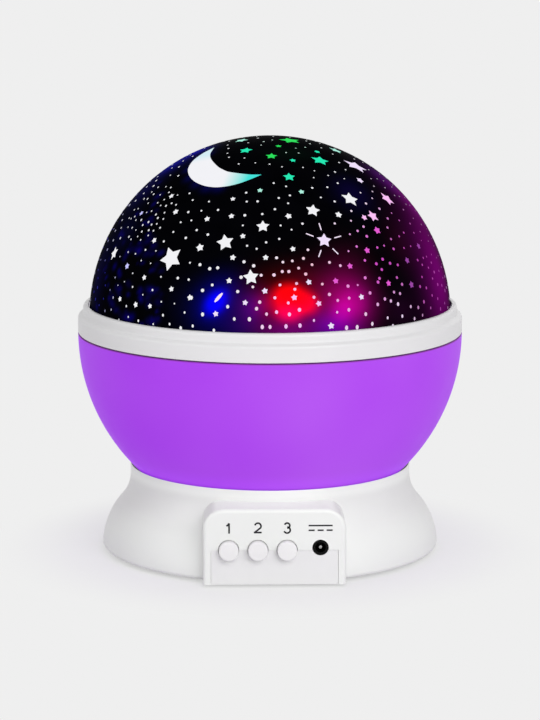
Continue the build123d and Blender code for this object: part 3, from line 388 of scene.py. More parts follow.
shell_white = moulded("abs_white_gloss", (0.752, 0.757, 0.745), 0.36, specular=0.4)
# Painted light: the shell glows faintly from just under the panel's top upward, over the neck close under the
# bowl, and up to twice as strongly on faces that point up, such as the panel's flat top, which the bowl
# shades.
tree = shell_white.node_tree
neck_painted_light = ranged(tree, upward(tree), 0, 1, PAINTED_LIGHT_LOW_Z * MM, PAINTED_LIGHT_HIGH_Z * MM, soft=True)
top_painted_light = ranged(tree, upward(tree, "Normal"), 0, PAINTED_LIGHT_ON_TOP, *FACING_UP, soft=True)
shell_painted_light = joined(tree, "MAXIMUM", neck_painted_light, top_painted_light)
feed(tree.nodes["Principled BSDF"], {"Emission Color": PAINTED_LIGHT_COLOUR, "Emission Strength": shell_painted_light})
block_grid, block_ends = panel_block()
boss_outline = [(0, BOSS_LOW_Z), (BOSS_R, BOSS_LOW_Z), (BOSS_R, BOSS_TOP_Z), (0, BOSS_TOP_Z)]
boss = turn_round(closed(np.array(boss_outline)), 32)
bosses = [boss + np.array([SCREW_CIRCLE_R * cos(a), SCREW_CIRCLE_R * sin(a), 0])
          for a in (SCREW_ANGLE, pi - SCREW_ANGLE, pi + SCREW_ANGLE, -SCREW_ANGLE)]
round_shell = surface("round_shell", [turn_round(housing_profile()), *bosses])
cut_away(round_shell, (-PANEL_HALF_W + PANEL_WALL, -FOOT_R - 1, 0),
         (PANEL_HALF_W - PANEL_WALL, PANEL_BACK_Y + 0.2, DECK_BOTTOM_Z))
housing = surface("base_shell", [block_grid], block_ends)
with edited(housing.data) as work:
    work.from_mesh(round_shell.data)
bpy.data.objects.remove(round_shell)
fit(housing, shell_white, "white_shell", "base", "base_housing")


# ---- panel marks ----
# Dark ink on the panel's face: a plain digit over each push button and the usual sign for direct current, a
# line over three dashes, above the power socket. The ink is a film a few hundredths of a millimetre thick.
INK_LIFT = 0.05
INK_FRONT_Y = PANEL_FRONT_Y - INK_LIFT
INK_BACK_Y = PANEL_FRONT_Y + INK_LIFT
MARK_Z = 20.4
DIGIT_HALF_H = 1.75
STROKE = 0.57
SIGN_HALF_W = 4.0
SIGN_LINE_Z = MARK_Z + 0.8
SIGN_DASH_Z = MARK_Z - 0.8
SIGN_THICK = 0.5


def bar(x, z, half_w):
    """A small closed block: its outline carried from a point in the front face to one in the back."""
    x0, x1, z0, z1 = x - half_w, x + half_w, z - SIGN_THICK / 2, z + SIGN_THICK / 2
    ring = np.array([(x0, z0), (x1, z0), (x1, z1), (x0, z1), (x0, z0)])
    middle = np.broadcast_to(ring[:-1].mean(0), ring.shape)
    return upright((middle, INK_FRONT_Y), (ring, INK_FRONT_Y), (ring, INK_BACK_Y), (middle, INK_BACK_Y))[0]


def unit(vectors):
    """Vectors brought to a length of one."""
    return vectors / np.linalg.norm(vectors, axis=-1, keepdims=True)


def ribbon(line):
    """A stroke of ink along a line of (x, z) points: each point goes half the stroke's width to both sides,
    square to the line's run there. The ends are square."""
    run = unit(np.gradient(line, axis=0))
    side = np.stack([-run[:, 1], run[:, 0]], -1) * STROKE / 2
    left, right = line + side, line - side
    return upright((left, INK_FRONT_Y), (right, INK_FRONT_Y), (right, INK_BACK_Y), (left, INK_BACK_Y),
                   (left, INK_FRONT_Y))


ink, _, shader = toned("panel_ink", (0.009, 0.009, 0.011), (0.018, 0.018, 0.021), 900)
feed(shader, {"Roughness": 0.5, "Specular IOR Level": 0.2})
top, foot = DIGIT_HALF_H, -DIGIT_HALF_H
digit_lines = [
    [[(-0.75, top - 0.95), (-0.2, top - 0.6), (0.15, top)], [(0.15, top), (0.15, foot)]],
    [np.vstack([arc((0, top - 1.05), 1.05, radians(165), radians(-32), 16), [(-1.1, foot + STROKE / 2)]]),
     [(-1.35, foot + STROKE / 2), (1.25, foot + STROKE / 2)]],
    [arc((0, top - 0.9), 0.88, radians(160), radians(-90), 18),
     arc((0, foot + 1.06), 1.03, radians(90), radians(-160), 20)],
]
mark_patches, mark_caps = [], []
for x, strokes in zip(BUTTON_X, digit_lines):
    for stroke in strokes:
        band, ends = ribbon(np.array(stroke) + np.array([x, MARK_Z]))
        mark_patches.append(band)
        mark_caps += ends
dash = SIGN_HALF_W / 2
mark_patches.append(bar(JACK_X, SIGN_LINE_Z, SIGN_HALF_W))
mark_patches += [bar(JACK_X + i * dash * 1.5, SIGN_DASH_Z, dash / 2) for i in (-1, 0, 1)]
marks = surface("panel_marks", mark_patches, mark_caps)
fit(marks, ink, "jack_body", "base")


# ---- push buttons ----
# Three round caps of fine matt ABS that stand out of the panel. Each has a flange that keeps it behind the
# wall and a stem that meets its switch.
BUTTON_R = 3.3
BUTTON_EDGE_R = 0.55
BUTTON_DOME = 0.12
BUTTON_FLANGE_R = 4.2
BUTTON_FLANGE_T = 1.0
BUTTON_STEM_R = 2.2
BUTTON_STEM_L = 0.8
BUTTON_SIDE = 1.4


def lying(profile, x, z):
    """A profile of (radius, depth) points carried round an axis along Y through (x, z)."""
    ring = turn_round(profile, 72)
    return np.stack([ring[..., 0] + x, ring[..., 2], ring[..., 1] + z], -1)


button_white = moulded("abs_white_matt", (0.80, 0.795, 0.79), 0.5, grain=0.3, grain_scale=3400, specular=0.35)
for i, x in enumerate(BUTTON_X, 1):
    low, high = [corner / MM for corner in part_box(f"button_{i}")]
    z = (low.z + high.z) / 2
    flange_y = high.y - BUTTON_STEM_L - BUTTON_FLANGE_T
    rise_r = BUTTON_R - BUTTON_EDGE_R
    dished = [(r, low.y + BUTTON_DOME * (r / rise_r) ** 2) for r in np.linspace(0, rise_r, 8)]
    edge = arc((rise_r, low.y + BUTTON_DOME + BUTTON_EDGE_R), BUTTON_EDGE_R, -pi / 2, 0, 9)[1:]
    stem_y = high.y - BUTTON_STEM_L
    rest = [(BUTTON_R, low.y + BUTTON_SIDE), (BUTTON_R, flange_y), (BUTTON_FLANGE_R, flange_y),
            (BUTTON_FLANGE_R, stem_y), (BUTTON_STEM_R, stem_y), (BUTTON_STEM_R, high.y), (0, high.y)]
    cap = surface(f"button_cap_{i}", [lying(np.vstack([dished, edge, rest]), x, z)])
    fit(cap, button_white, "white_button", f"push_{i}", f"button_{i}")


# ---- bowl ----
# The coloured lower half of the ball, moulded in satin purple ABS that lets a little of the lamps' light
# through. It is screwed to the turntable under its flat floor and turns with it.
BOWL_WALL = 2.2
BOWL_FLOOR_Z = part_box("bowl")[0].z / MM
BOWL_HOLE_R = 16.1
MOUTH_EDGE = 0.25
PURPLE_LIGHT = (0.304, 0.086, 0.392)
PURPLE_DEEP = (0.244, 0.038, 0.368)
# The bowl's glow colour: partly the lamps' light through the plastic, partly painted light that evens out its
# shading.
LAMP_AND_PAINTED_PURPLE = (0.163, 0.018, 0.485)
FOOT_PAINTED_LIGHT = 1.25
FOOT_PAINTED_LIGHT_Z = (rim_height(NECK_R) - 1.0, rim_height(NECK_R) + 7.0)
PAINTED_MOUTH_SHADE_Z = (EQUATOR_Z - 0.45, EQUATOR_Z - 0.05)


def sphere_run(radius, centre_z, low, high, steps):
    """The outline of a sphere between two heights: an arc between the arc sines of the heights above its
    centre over the radius."""
    start = np.arcsin((low - centre_z) / radius)
    end = np.arcsin((high - centre_z) / radius)
    return arc((0, centre_z), radius, start, end, steps)


floor_top = BOWL_FLOOR_Z + BOWL_WALL
bowl_profile = np.vstack([
    [(BOWL_HOLE_R, BOWL_FLOOR_Z)],
    sphere_run(BOWL_R, EQUATOR_Z, BOWL_FLOOR_Z, EQUATOR_Z - MOUTH_EDGE, 60),
    arc((BOWL_R - MOUTH_EDGE, EQUATOR_Z - MOUTH_EDGE), MOUTH_EDGE, 0, pi / 2, 5)[1:],
    sphere_run(BOWL_R - BOWL_WALL, EQUATOR_Z, floor_top, EQUATOR_Z, 40)[::-1],
    [(BOWL_HOLE_R, floor_top)],
])
purple, tree, shader = toned("abs_purple_satin", PURPLE_DEEP, PURPLE_LIGHT, 13)
# The bowl's glow is partly the lamps' light through the plastic and partly painted light that evens out its
# shading. Painted light makes it stronger at the foot, where the bowl meets the bright neck of the base, and
# painted shade darkens it just under the mouth, in the seam below the ring.
height = upward(tree)
foot_painted_light = ranged(tree, height, FOOT_PAINTED_LIGHT, 1, *(z * MM for z in FOOT_PAINTED_LIGHT_Z), soft=True)
painted_mouth_shade = ranged(tree, height, 1, 0, *(z * MM for z in PAINTED_MOUTH_SHADE_Z))
feed(shader, {
    "Roughness": ranged(tree, noise(tree, 110, 4), 0.40, 0.50), "IOR": 1.12, "Specular IOR Level": 0.25,
    "Emission Color": LAMP_AND_PAINTED_PURPLE, "Emission Strength": joined(tree, "MULTIPLY", foot_painted_light, painted_mouth_shade)})
bowl = surface("purple_bowl", [turn_round(closed(bowl_profile), 288)])
fit(bowl, purple, "purple_bowl", "ball", "bowl")
# The bowl's glow, partly painted light, is kept from tinting the white base.
beside_glow = bpy.data.collections.new("beside_the_glow")
beside_glow.objects.link(housing)
bowl.light_linking.receiver_collection = beside_glow
beside_glow.collection_objects[0].light_linking.link_state = "EXCLUDE"


# ---- shade ring ----
# The white ring between bowl and dome: a wide band flush with the bowl, a narrower lip round the dome's foot,
# a ledge that the dome stands on and a spigot that drops into the bowl. It lifts off with the dome.
RING_LOW_Z = EQUATOR_Z + 0.35
BAND_TOP_Z = EQUATOR_Z + 6.0
LIP_R = BOWL_R - 1.8
LIP_TOP_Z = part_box("shade_ring")[1].z / MM
LIP_INNER_R = LIP_R - 1.9
LEDGE_TOP_Z = EQUATOR_Z + 4.6
LEDGE_LOW_Z = LEDGE_TOP_Z - 1.9
LEDGE_R = LIP_INNER_R - 2.8
SPIGOT_R = BOWL_R - BOWL_WALL - 0.4
SPIGOT_LOW_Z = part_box("shade_ring")[0].z / MM


def rounded(corners):
    """A closed outline from (radius, height, rounding) corners. Each corner becomes a tangent arc: its centre
    lies on the bisector, and a point on each side of the arc keeps the flats beside it flat."""
    places = np.array([corner[:2] for corner in corners], float)
    line = []
    for i, (_, _, radius) in enumerate(corners):
        here = places[i]
        if radius == 0:
            line.append(here[None])
            continue
        back, on = unit(places[i - 1] - here), unit(places[(i + 1) % len(places)] - here)
        half_turn = np.arccos(np.clip(back @ on, -1, 1)) / 2
        reach = radius / np.tan(half_turn)
        middle = here + unit(back + on) * radius / sin(half_turn)
        first = here + back * reach - middle
        last = here + on * reach - middle
        share = np.linspace(0, 1, 7)[:, None]
        turn = pi - 2 * half_turn
        bow = (first * np.sin((1 - share) * turn) + last * np.sin(share * turn)) / sin(turn)
        line += [(middle + first + back * radius * 0.12)[None], middle + bow,
                 (middle + last + on * radius * 0.12)[None]]
    return closed(np.vstack(line))


ring_corners = [
    (BOWL_R, RING_LOW_Z, 0.3), (BOWL_R, BAND_TOP_Z - 0.2, 1.1), (LIP_R, BAND_TOP_Z + 0.75, 0.75),
    (LIP_R, LIP_TOP_Z, 1.2), (LIP_INNER_R, LIP_TOP_Z, 0.3), (LIP_INNER_R, LEDGE_TOP_Z, 0),
    (LEDGE_R, LEDGE_TOP_Z, 0.3), (LEDGE_R, LEDGE_LOW_Z, 0.3), (SPIGOT_R - 2.0, LEDGE_LOW_Z, 0),
    (SPIGOT_R - 2.0, SPIGOT_LOW_Z, 0.3), (SPIGOT_R, SPIGOT_LOW_Z, 0.5), (SPIGOT_R, RING_LOW_Z, 0),
]
ring_white = moulded("abs_ring_white", (0.735, 0.729, 0.74), 0.38, specular=0.35)
ring = surface("white_ring", [turn_round(rounded(ring_corners), 288)])
fit(ring, ring_white, "white_shell", "shade", "shade_ring")


# ---- star dome ----
# The removable half of the ball: a clear shell printed near black all over except for stars, dots and a
# crescent moon, which stay clear and let the lamps' light out. It is cemented on the shade ring's ledge.
DOME_R = LIP_INNER_R - 0.2
DOME_WALL = 1.8
DOME_FOOT_Z = LEDGE_TOP_Z
DOME_CENTRE = np.array([0.0, 0.0, EQUATOR_Z + 4.9])
PRINT_DEPTH = 0.05
VIEW_FROM = np.array([-25.7, -983.3, 246.8])
VIEW_AT = np.array([0.0, 0.0, 66.3])
view_line = unit(VIEW_AT - VIEW_FROM)
view_right = unit(np.cross(view_line, (0, 0, 1)))
view_up = np.cross(view_right, view_line)


def toward(across, up):
    """Directions from the dome's centre to where lines from the front viewpoint, through points that lie
    across and up from the centre in the plane facing it, first meet the dome: the nearer root of the line's
    quadratic."""
    through = DOME_CENTRE + np.multiply.outer(across, view_right) + np.multiply.outer(up, view_up)
    line = unit(through - VIEW_FROM)
    offset = VIEW_FROM - DOME_CENTRE
    along = -(line @ offset)
    inside = np.maximum(DOME_R**2 - (offset @ offset - along**2), 0)
    return unit(offset + line * (along - np.sqrt(inside))[..., None])


def aimed(place):
    """A direction from the dome's centre: to an (across, up) place on the front, or along an (x, y, z)
    arrow."""
    return toward(*place) if len(place) == 2 else unit(np.array(place))


def linear(red, green, blue):
    """A colour as shown on a screen, 0 to 255, as the light that it stands for: a power of 2.4 with a short
    straight foot."""
    shown = np.array([red, green, blue]) / 255
    return np.where(shown > 0.04045, ((shown + 0.055) / 1.055) ** 2.4, shown / 12.92)


# Each lamp colour lights a region of the dome: place, angular radius in degrees, red, green and blue as shown
# on a screen, and strength on the windows. The last four lie round the back.
WHITE_LIGHT = linear(240, 240, 243)
region_rows = [
    (6, 60, 9, (60, 190, 130), 0.6), (34, 23, 10, (240, 100, 225), 0.8), (42, 15, 14, (215, 60, 200), 0.95),
    (58, 12, 17, (142, 36, 140), 1), (56, 30, 14, (190, 66, 180), 1), (46, 34, 12, (216, 130, 216), 0.9),
    (50, 25, 13, (196, 72, 180), 1), (54, 14, 13, (176, 56, 164), 1), (45, 1, 7, (240, 225, 250), 0.7),
    (27, 8, 8, (238, 112, 216), 0.8), (6, 5, 11, (255, 188, 226), 0.85), (12, -4, 13, (246, 184, 250), 0.85),
    (16, 16, 7, (240, 150, 170), 0.5), (-60, 10, 15, (20, 16, 130), 1), (-56, 30, 12, (24, 20, 150), 1),
    (-44, 46, 8, (90, 90, 230), 0.7), (19, 26.5, 6, (245, 205, 245), 0.75),
    (0.80, 0.55, 0.24, 26, (60, 90, 245), 0.9), (0.10, 0.97, 0.22, 20, (30, 220, 130), 0.9),
    (-0.75, 0.62, 0.22, 22, (240, 70, 60), 0.85), (-0.2, 0.72, 0.66, 16, (225, 90, 215), 0.8)]
window_regions = [(aimed(place), reach, linear(*shown), strength)
                  for *place, reach, shown, strength in region_rows]


def window_light(directions):
    """The light that shows through a window: white, drawn toward each region's colour by a bell curve of the
    angle from the region's middle."""
    light = np.broadcast_to(WHITE_LIGHT, directions.shape).copy()
    for middle, reach, colour, strength in window_regions:
        angle = np.degrees(np.arccos(np.clip(directions @ middle, -1, 1)))
        share = strength * np.clip(1.35 * np.exp(-((angle / reach) ** 2) * 1.2), 0, 1)
        light += (colour - light) * share[..., None]
    return light


# Light that the print itself lets through where a lamp stands close behind it: place, angular radius up in
# degrees, how much wider across, lean in degrees, the spots' strength, and colour. Spots have a fuller middle
# than hazes.
spot_rows = [
    (8, 5.2, 3.7, 1.5, 0, 1.3, (255, 0, 0)), (6, 8.6, 2.6, 1.5, 8, 1, (200, 0, 0)),
    (6.6, 0.9, 2.6, 1.5, 0, 1, (205, 0, 66)), (13.5, 4.2, 2.9, 1.1, -30, 1, (190, 0, 10)),
    (-19, 4.8, 4.0, 0.7, -42, 0.95, (0, 0, 255)), (25.2, 1.9, 3.4, 0.9, -35, 1, (104, 0, 96)),
    (29.5, 5, 4.4, 1, 0, 1, (96, 0, 78)), (0.80, 0.58, 0.12, 5.5, 1.2, 0, 1, (0, 8, 240)),
    (0.10, 0.99, 0.08, 5.4, 1.2, 0, 1, (0, 215, 70)), (-0.74, 0.66, 0.08, 5.4, 1.2, 0, 1, (250, 10, 6))]
lamp_spots = [(aimed(place), reach, wide, lean, strength * linear(*shown))
              for *place, reach, wide, lean, strength, shown in spot_rows]
# The hazes along the dome's left and right edges, as seen from the front, are partly the lamps' light and
# partly a painted sheen at the edge.
haze_rows = [
    (8, 4, 7.4, 1.4, 0, (108, 0, 6)), (13, 12, 4.8, 1.3, 0, (38, 0, 10)),
    (-18.5, 5, 6.4, 0.8, -42, (0, 0, 130)), (-27, 3, 7, 1, 0, (1, 1, 26)), (26.5, 4, 7, 1, 0, (156, 0, 110)),
    (24, 11, 7, 1, 0, (52, 0, 24)), (22.5, -3.5, 4, 1.7, 0, (62, 0, 140)),
    (-1.7, 4.2, 3.4, 0.9, 0, (100, 0, 44)), (6.5, -5.5, 4.8, 1.8, 0, (84, 0, 96)),
    (-6.5, 3, 4.2, 0.9, 0, (50, 0, 104)), (-11, -4, 4.2, 1.4, 0, (12, 0, 74)), (33, 4, 6, 1, 0, (50, 0, 36)),
    (28, 17, 7, 1, 0, (34, 0, 16)), (46, 26, 8, 0.8, 0, (24, 0, 12)), (56.5, 23, 14.5, 0.75, 0, (86, 0, 80)),
    (60, 8, 12, 0.85, 0, (84, 0, 80)), (49.5, 39, 9.5, 0.8, 30, (92, 0, 90)),
    (40, 48, 6.5, 1, 0, (52, 0, 78)), (29, 43, 6, 1, 0, (6, 1, 40)), (46, 2, 5, 1.2, 0, (22, 0, 20)),
    (7, 57, 5, 1.4, 0, (0, 9, 3)), (-44, 44, 7, 1, 0, (2, 1, 50)), (-60, 14, 12, 0.5, 0, (2, 1, 34)),
    (-34, 53, 5, 1.3, 0, (4, 2, 120)), (-26, 57.5, 4, 1.5, 0, (6, 2, 140)), (-51, 29, 6, 1, 0, (2, 2, 30)),
    (0.80, 0.58, 0.12, 11, 1.1, 0, (0, 0, 110)), (0.95, 0.25, 0.22, 9, 1, 0, (60, 0, 100)),
    (0.10, 0.99, 0.08, 10.5, 1.2, 0, (0, 92, 40)), (0.35, 0.92, 0.22, 9, 1.2, 0, (0, 50, 80)),
    (-0.74, 0.66, 0.08, 10, 1.2, 0, (110, 0, 20)), (-0.45, 0.88, 0.14, 9, 1.2, 0, (60, 30, 0)),
    (-0.93, 0.30, 0.2, 8, 1, 0, (90, 0, 90)), (0, 0.55, 0.83, 14, 1, 0, (4, 6, 44))]
hazes = [(aimed(place), reach, wide, lean, linear(*shown)) for *place, reach, wide, lean, shown in haze_rows]
# A dim edge of light lies round the crescent's back, and faint blots of it lie along the left edge, partly
# painted sheen there.
for place in ((-22, 56.5), (-26, 54.5), (-28.5, 51.5), (-28, 48.5), (-25.5, 46.5), (-22, 45), (-18, 45)):
    hazes.append((toward(*place), 1.9, 1.0, 0, linear(3, 3, 58)))
blots = np.random.default_rng(5)
BLOT_COUNT = 130
BLOT_LIMIT_R = 0.985 * DOME_R
blot_ranges = ((-62, -38), (-4, 50), (0.5, 1.1), (30, 80))
for a, b, reach, blue in zip(*(blots.uniform(low, high, BLOT_COUNT) for low, high in blot_ranges)):
    if hypot(a, b) < BLOT_LIMIT_R:
        hazes.append((toward(a, b), reach, blots.uniform(0.8, 1.8), blots.uniform(-40, 40),
                      linear(blue * 0.06, 0, blue)))


def local_frame(directions):
    """For each direction, the way across and the way up on the dome there, seen from the front. Up is the
    view's up less its share along the direction."""
    up = unit(view_up - (directions @ view_up)[..., None] * directions)
    return np.cross(up, directions), up


def rotated(across, up, angle):
    """Offsets or ways turned left by an angle t: a cos t - u sin t across, a sin t + u cos t up."""
    return across * np.cos(angle) - up * np.sin(angle), across * np.sin(angle) + up * np.cos(angle)


def bells(directions, spots, power):
    """A sum of bell curves over the dome: e to the minus d to the power, d being the distance from a spot's
    middle in its own radii, with the spot leaning over by its angle."""
    light = np.zeros(directions.shape)
    for middle, reach, wide, lean, colour in spots:
        along, beside = rotated(*local_frame(middle), -radians(lean))
        east, north = np.degrees(directions @ along) / (reach * wide), np.degrees(directions @ beside) / reach
        bell = np.exp(-((east**2 + north**2) ** (power / 2))) * (directions @ middle > 0)
        light += bell[..., None] * colour
    return light


def points_of(mesh):
    """A mesh's points in millimetres."""
    points = np.empty(len(mesh.vertices) * 3)
    mesh.vertices.foreach_get("co", points)
    return points.reshape(-1, 3) / MM


def paint(mesh, layer, colours):
    """Gives each point of a mesh its colour of light."""
    attribute = mesh.color_attributes.new(layer, "FLOAT_COLOR", "POINT")
    attribute.data.foreach_set("color", np.hstack([colours, np.ones((len(colours), 1))]).ravel())


def painted(tree, layer):
    """The colours that a mesh carries in a layer."""
    read = node(tree, "VertexColor", {})
    read.node.layer_name = layer
    return read


def dome_run(inset, steps):
    """The outline of the dome from foot to top, an inset under its surface."""
    return sphere_run(DOME_R - inset, DOME_CENTRE[2], DOME_FOOT_Z, DOME_CENTRE[2] + DOME_R - inset, steps)


PRINT_DARK = (0.0003, 0.0003, 0.0005)
PRINT_LIGHT = (0.0008, 0.0008, 0.0013)
dome_grid = turn_round(closed(np.vstack([dome_run(PRINT_DEPTH, 150), dome_run(DOME_WALL, 60)[::-1]])), 400)
print_black, tree, shader = toned("dome_print_black", PRINT_DARK, PRINT_LIGHT, 120, 4)
feed(shader, {"Emission Color": painted(tree, "glow"), "Emission Strength": 1.0, "IOR": 1.02,
              "Specular IOR Level": 0.08, "Roughness": ranged(tree, noise(tree, 60, 3), 0.36, 0.44)})
dome = surface("star_print_shell", [dome_grid])
ways = unit(points_of(dome.data) - DOME_CENTRE)
# The print's own faint light: a trace of blue black, the hazes, partly painted sheen along the edges, and the
# lamps' spots.
print_glow = linear(1, 1, 2) + bells(ways, hazes, 2) + bells(ways, lamp_spots, 2.9)
paint(dome.data, "glow", np.clip(print_glow, 0, 1))
fit(dome, print_black, "star_print_dome", "shade", "star_dome")


# ---- star windows ----
# The clear places in the print, each a plug of clear plastic through the dome's wall: nearly two hundred
# five-pointed stars, one of them with five loose rays, a crescent moon and nearly eight hundred dots.
WINDOW_INNER_R = DOME_R - DOME_WALL - 0.02


def plugs(directions, outline, light):
    """Closed plugs from outlines: each outline point lies its offsets across and up from the window's
    direction, laid on the sphere along the arc to it, and a second ring stands under it on the inner wall.
    Returns points, faces by size and light for each point."""
    across, up = outline
    right, top = local_frame(directions)
    offset = across[..., None] * right[:, None] + up[..., None] * top[:, None]
    length = np.linalg.norm(offset, axis=-1, keepdims=True)
    turn = length / DOME_R
    rim = np.cos(turn) * directions[:, None] + np.sin(turn) * offset / np.maximum(length, 1e-9)
    middle = directions[:, None]
    rows = np.concatenate([middle * DOME_R, rim * DOME_R, rim * WINDOW_INNER_R, middle * WINDOW_INNER_R], 1)
    count, corners = across.shape
    start = (np.arange(count) * (2 * corners + 2))[:, None]
    here = start + 1 + np.arange(corners)
    after = start + 1 + (np.arange(corners) + 1) % corners
    top = start + 0 * here
    fans = np.concatenate([np.stack(fan, -1).reshape(-1, 3) for fan in (
        (top, here, after), (top + 2 * corners + 1, after + corners, here + corners))])
    sides = np.stack([here, here + corners, after + corners, after], -1).reshape(-1, 4)
    colours = np.repeat(np.broadcast_to(light, directions.shape)[:, None], 2 * corners + 2, 1)
    return rows.reshape(-1, 3) + DOME_CENTRE, [fans, sides], colours.reshape(-1, 3)


SMALL_STAR_R = 1.7
SMALL_STAR_SCALE = 0.9
SMALL_WAIST = 0.61
WAIST = 0.53


def star_outline(size, turn):
    """Offsets of a star's corners: its radius swings between full at the tips and the waist between them. The
    small stars print with blunter tips, which leaves them a tenth smaller, and wider at the waist."""
    size = np.asarray(size)[:, None]
    corner = np.arange(10)
    angle = pi / 2 + np.asarray(turn)[:, None] + corner * pi / 5
    small = size < SMALL_STAR_R
    waist = np.where(small, SMALL_WAIST, WAIST)
    radius = size * np.where(small, SMALL_STAR_SCALE, 1.0) * np.where(corner % 2, waist, 1.0)
    return radius * np.cos(angle), radius * np.sin(angle)


def dot_outline(wide, tall):
    """Offsets of an oval's eight corners: width times the cosine across, height times the sine up."""
    angle = (np.arange(8) + 0.5) * pi / 4
    return np.asarray(wide)[:, None] * np.cos(angle), np.asarray(tall)[:, None] * np.sin(angle)


# Stars on the front, by the light behind them: white, lilac, pink, magenta, violet, teal, green, pale teal
# and blue. Each is its place across and up, seen from the front, its tip radius in millimetres and its lean
# in degrees.
front_stars = {
    (240, 240, 243): [
        (-34.7, 20.2, 4.4, 26), (-15.7, 25.8, 3.0, 12), (-2.5, 31.4, 2.25, 2), (-6.7, 13.6, 2.7, 6),
        (-24.5, 24, 1.6, 14), (-22, 34, 1.2, 12), (-13.5, 35, 1.15, 8), (-13, 41, 1.0, 8), (-9.5, 28, 1.1, 8),
        (-13, 20.5, 1.2, -8), (-1.5, 20.5, 1.15, 0), (-33, 36.5, 1.3, 20), (-34.5, 42, 1.2, 24),
        (-40.5, 26.5, 1.2, 30), (-54.5, 22, 2.2, 14), (-14.3, 12.4, 1.15, 0), (-28, 6.5, 1.2, 8),
        (-34.5, 9.5, 1.1, 10), (-44, 13.5, 1.1, 15), (-47, 4, 1.2, 15), (-42, 3.5, 1.0, 10),
        (-52.5, 6, 1.1, 14), (15, 37, 2.5, -13), (6.5, 35, 1.3, 20), (28, 41, 2.9, -14), (24, 35.5, 1.4, -14),
        (8, 23.5, 1.1, 10)],
    (238, 222, 250): [
        (19, 26.5, 2.6, -5), (30, 52.5, 3.4, 34), (31.5, 47.5, 1.6, 30), (-8.7, 4.7, 1.1, -10),
        (-19, 0.8, 1.15, 10), (-1.8, 8.8, 1.2, 10), (32, 6.7, 1.15, 14), (21.4, -3.4, 1.3, 8),
        (13.6, 11.9, 1.15, 16)],
    (250, 190, 245): [
        (41, 41, 2.5, 20), (36, 35, 2.1, 14), (33, 34.5, 1.3, 20), (17.1, 4.4, 1.15, 20), (8.5, 6.5, 1.2, 8)],
    (228, 84, 208): [
        (37.5, 30, 1.6, 12), (34, 23, 1.3, 8), (28, 17.5, 1.2, 6), (23, 12.3, 1.2, 8), (41.5, 11.5, 1.2, 4)],
    (150, 60, 160): [(49.5, 11, 1.4, 12), (48, 19.5, 1.3, 18), (52, 24.5, 1.3, 10)],
    (16, 232, 176): [
        (6.7, 48.7, 2.1, -2), (17.5, 54.5, 2.9, -22), (-8.5, 58, 2.3, 0), (8, 54.5, 1.2, 0),
        (16.5, 57.5, 1.2, 0)],
    (24, 222, 84): [(0.5, 56, 2.0, -4), (7, 61.5, 3.7, 0), (3, 59.5, 1.2, 0)],
    (172, 239, 220): [(-10, 61.5, 2.3, 0), (23, 58, 2.4, 30), (-3.5, 44, 1.1, 0), (11, 43.5, 1.15, 6)],
    (196, 196, 252): [(-45, 36, 1.1, 30), (-50, 17.5, 1.3, 12)],
}
star_rows = np.array([star for stars in front_stars.values() for star in stars])
star_colours = np.array([linear(*shown) for shown, stars in front_stars.items() for _ in stars])
star_way = toward(star_rows[:, 0], star_rows[:, 1])
# A few near the edge are drawn out along it, by a factor each.
drawn_out = {(30, 52.5): 1.4, (41, 41): 1.25, (36, 35): 1.12, (28, 41): 1.12, (-54.5, 22): 1.15,
             (17.5, 54.5): 1.1}
drawn = np.array([drawn_out.get((a, b), 1.0) for a, b in star_rows[:, :2].tolist()])[:, None]
edge_turn = np.arctan2(star_rows[:, 1], star_rows[:, 0])[:, None]
star_in, star_along = rotated(*star_outline(star_rows[:, 2], np.radians(star_rows[:, 3])), -edge_turn)

# The crescent: its outer and inner edges, tip to tip, across and up in millimetres.
moon_outer = np.array([(-19.5, 59), (-23.5, 57), (-27, 54.5), (-29, 51.5), (-28.5, 49), (-26.5, 47),
                       (-23, 45.5), (-19, 45), (-14.5, 45.5), (-10.5, 46.5), (-6.5, 48), (-3, 49.5)], float)
moon_inner = np.array([(-19.5, 59), (-21, 57), (-21, 55.5), (-20, 54), (-18, 52), (-15, 50.5), (-11.5, 50),
                       (-7, 49.5), (-3, 49.5)], float)
MOON_STEPS = 72
MOON_PASSES = 7


def smooth_line(points):
    """An even walk along a line, rounded by passes that set each inner point at the mean of itself, twice,
    and its neighbours."""
    length = np.insert(np.cumsum(np.linalg.norm(np.diff(points, axis=0), axis=1)), 0, 0)
    walk = np.linspace(0, length[-1], MOON_STEPS)
    line = np.stack([np.interp(walk, length, points[:, i]) for i in (0, 1)], -1)
    for _ in range(MOON_PASSES):
        line[1:-1] = (line[:-2] + 2 * line[1:-1] + line[2:]) / 4
    return line


outer_line, inner_line = smooth_line(moon_outer), smooth_line(moon_inner)
moon_plan = outer_line + (inner_line - outer_line) * np.linspace(0, 1, 9)[:, None, None]
moon_way = toward(moon_plan[..., 0], moon_plan[..., 1])
moon_top = moon_way * (DOME_R - 0.005) + DOME_CENTRE
moon_bottom = moon_way[::-1] * WINDOW_INNER_R + DOME_CENTRE
moon_grid = np.concatenate([moon_top, moon_bottom, moon_top[:1]])

# Five loose rays stand round one star, and a slanting streak lies in the blue light.
ray_turn = np.radians([98, 157, 16, 246, 312])
RAY_FROM, RAY_TO, RAY_HALF_W = 3.8, 6.5, 0.19
ray_star = toward(19.0, 26.5)
ray_mid = (RAY_FROM + RAY_TO) / 2 / DOME_R
ray_out = np.stack([np.cos(ray_turn), np.sin(ray_turn)], -1) @ np.array(local_frame(ray_star))
ray_way = ray_star * cos(ray_mid) + ray_out * sin(ray_mid)
ray_along = np.array([1, 0.96, -0.96, -1, -0.96, 0.96]) * (RAY_TO - RAY_FROM) / 2
ray_beside = np.array([0, 1, 1, 0, -1, -1]) * RAY_HALF_W
streak_way = toward(np.array([-18.0]), np.array([6.5]))

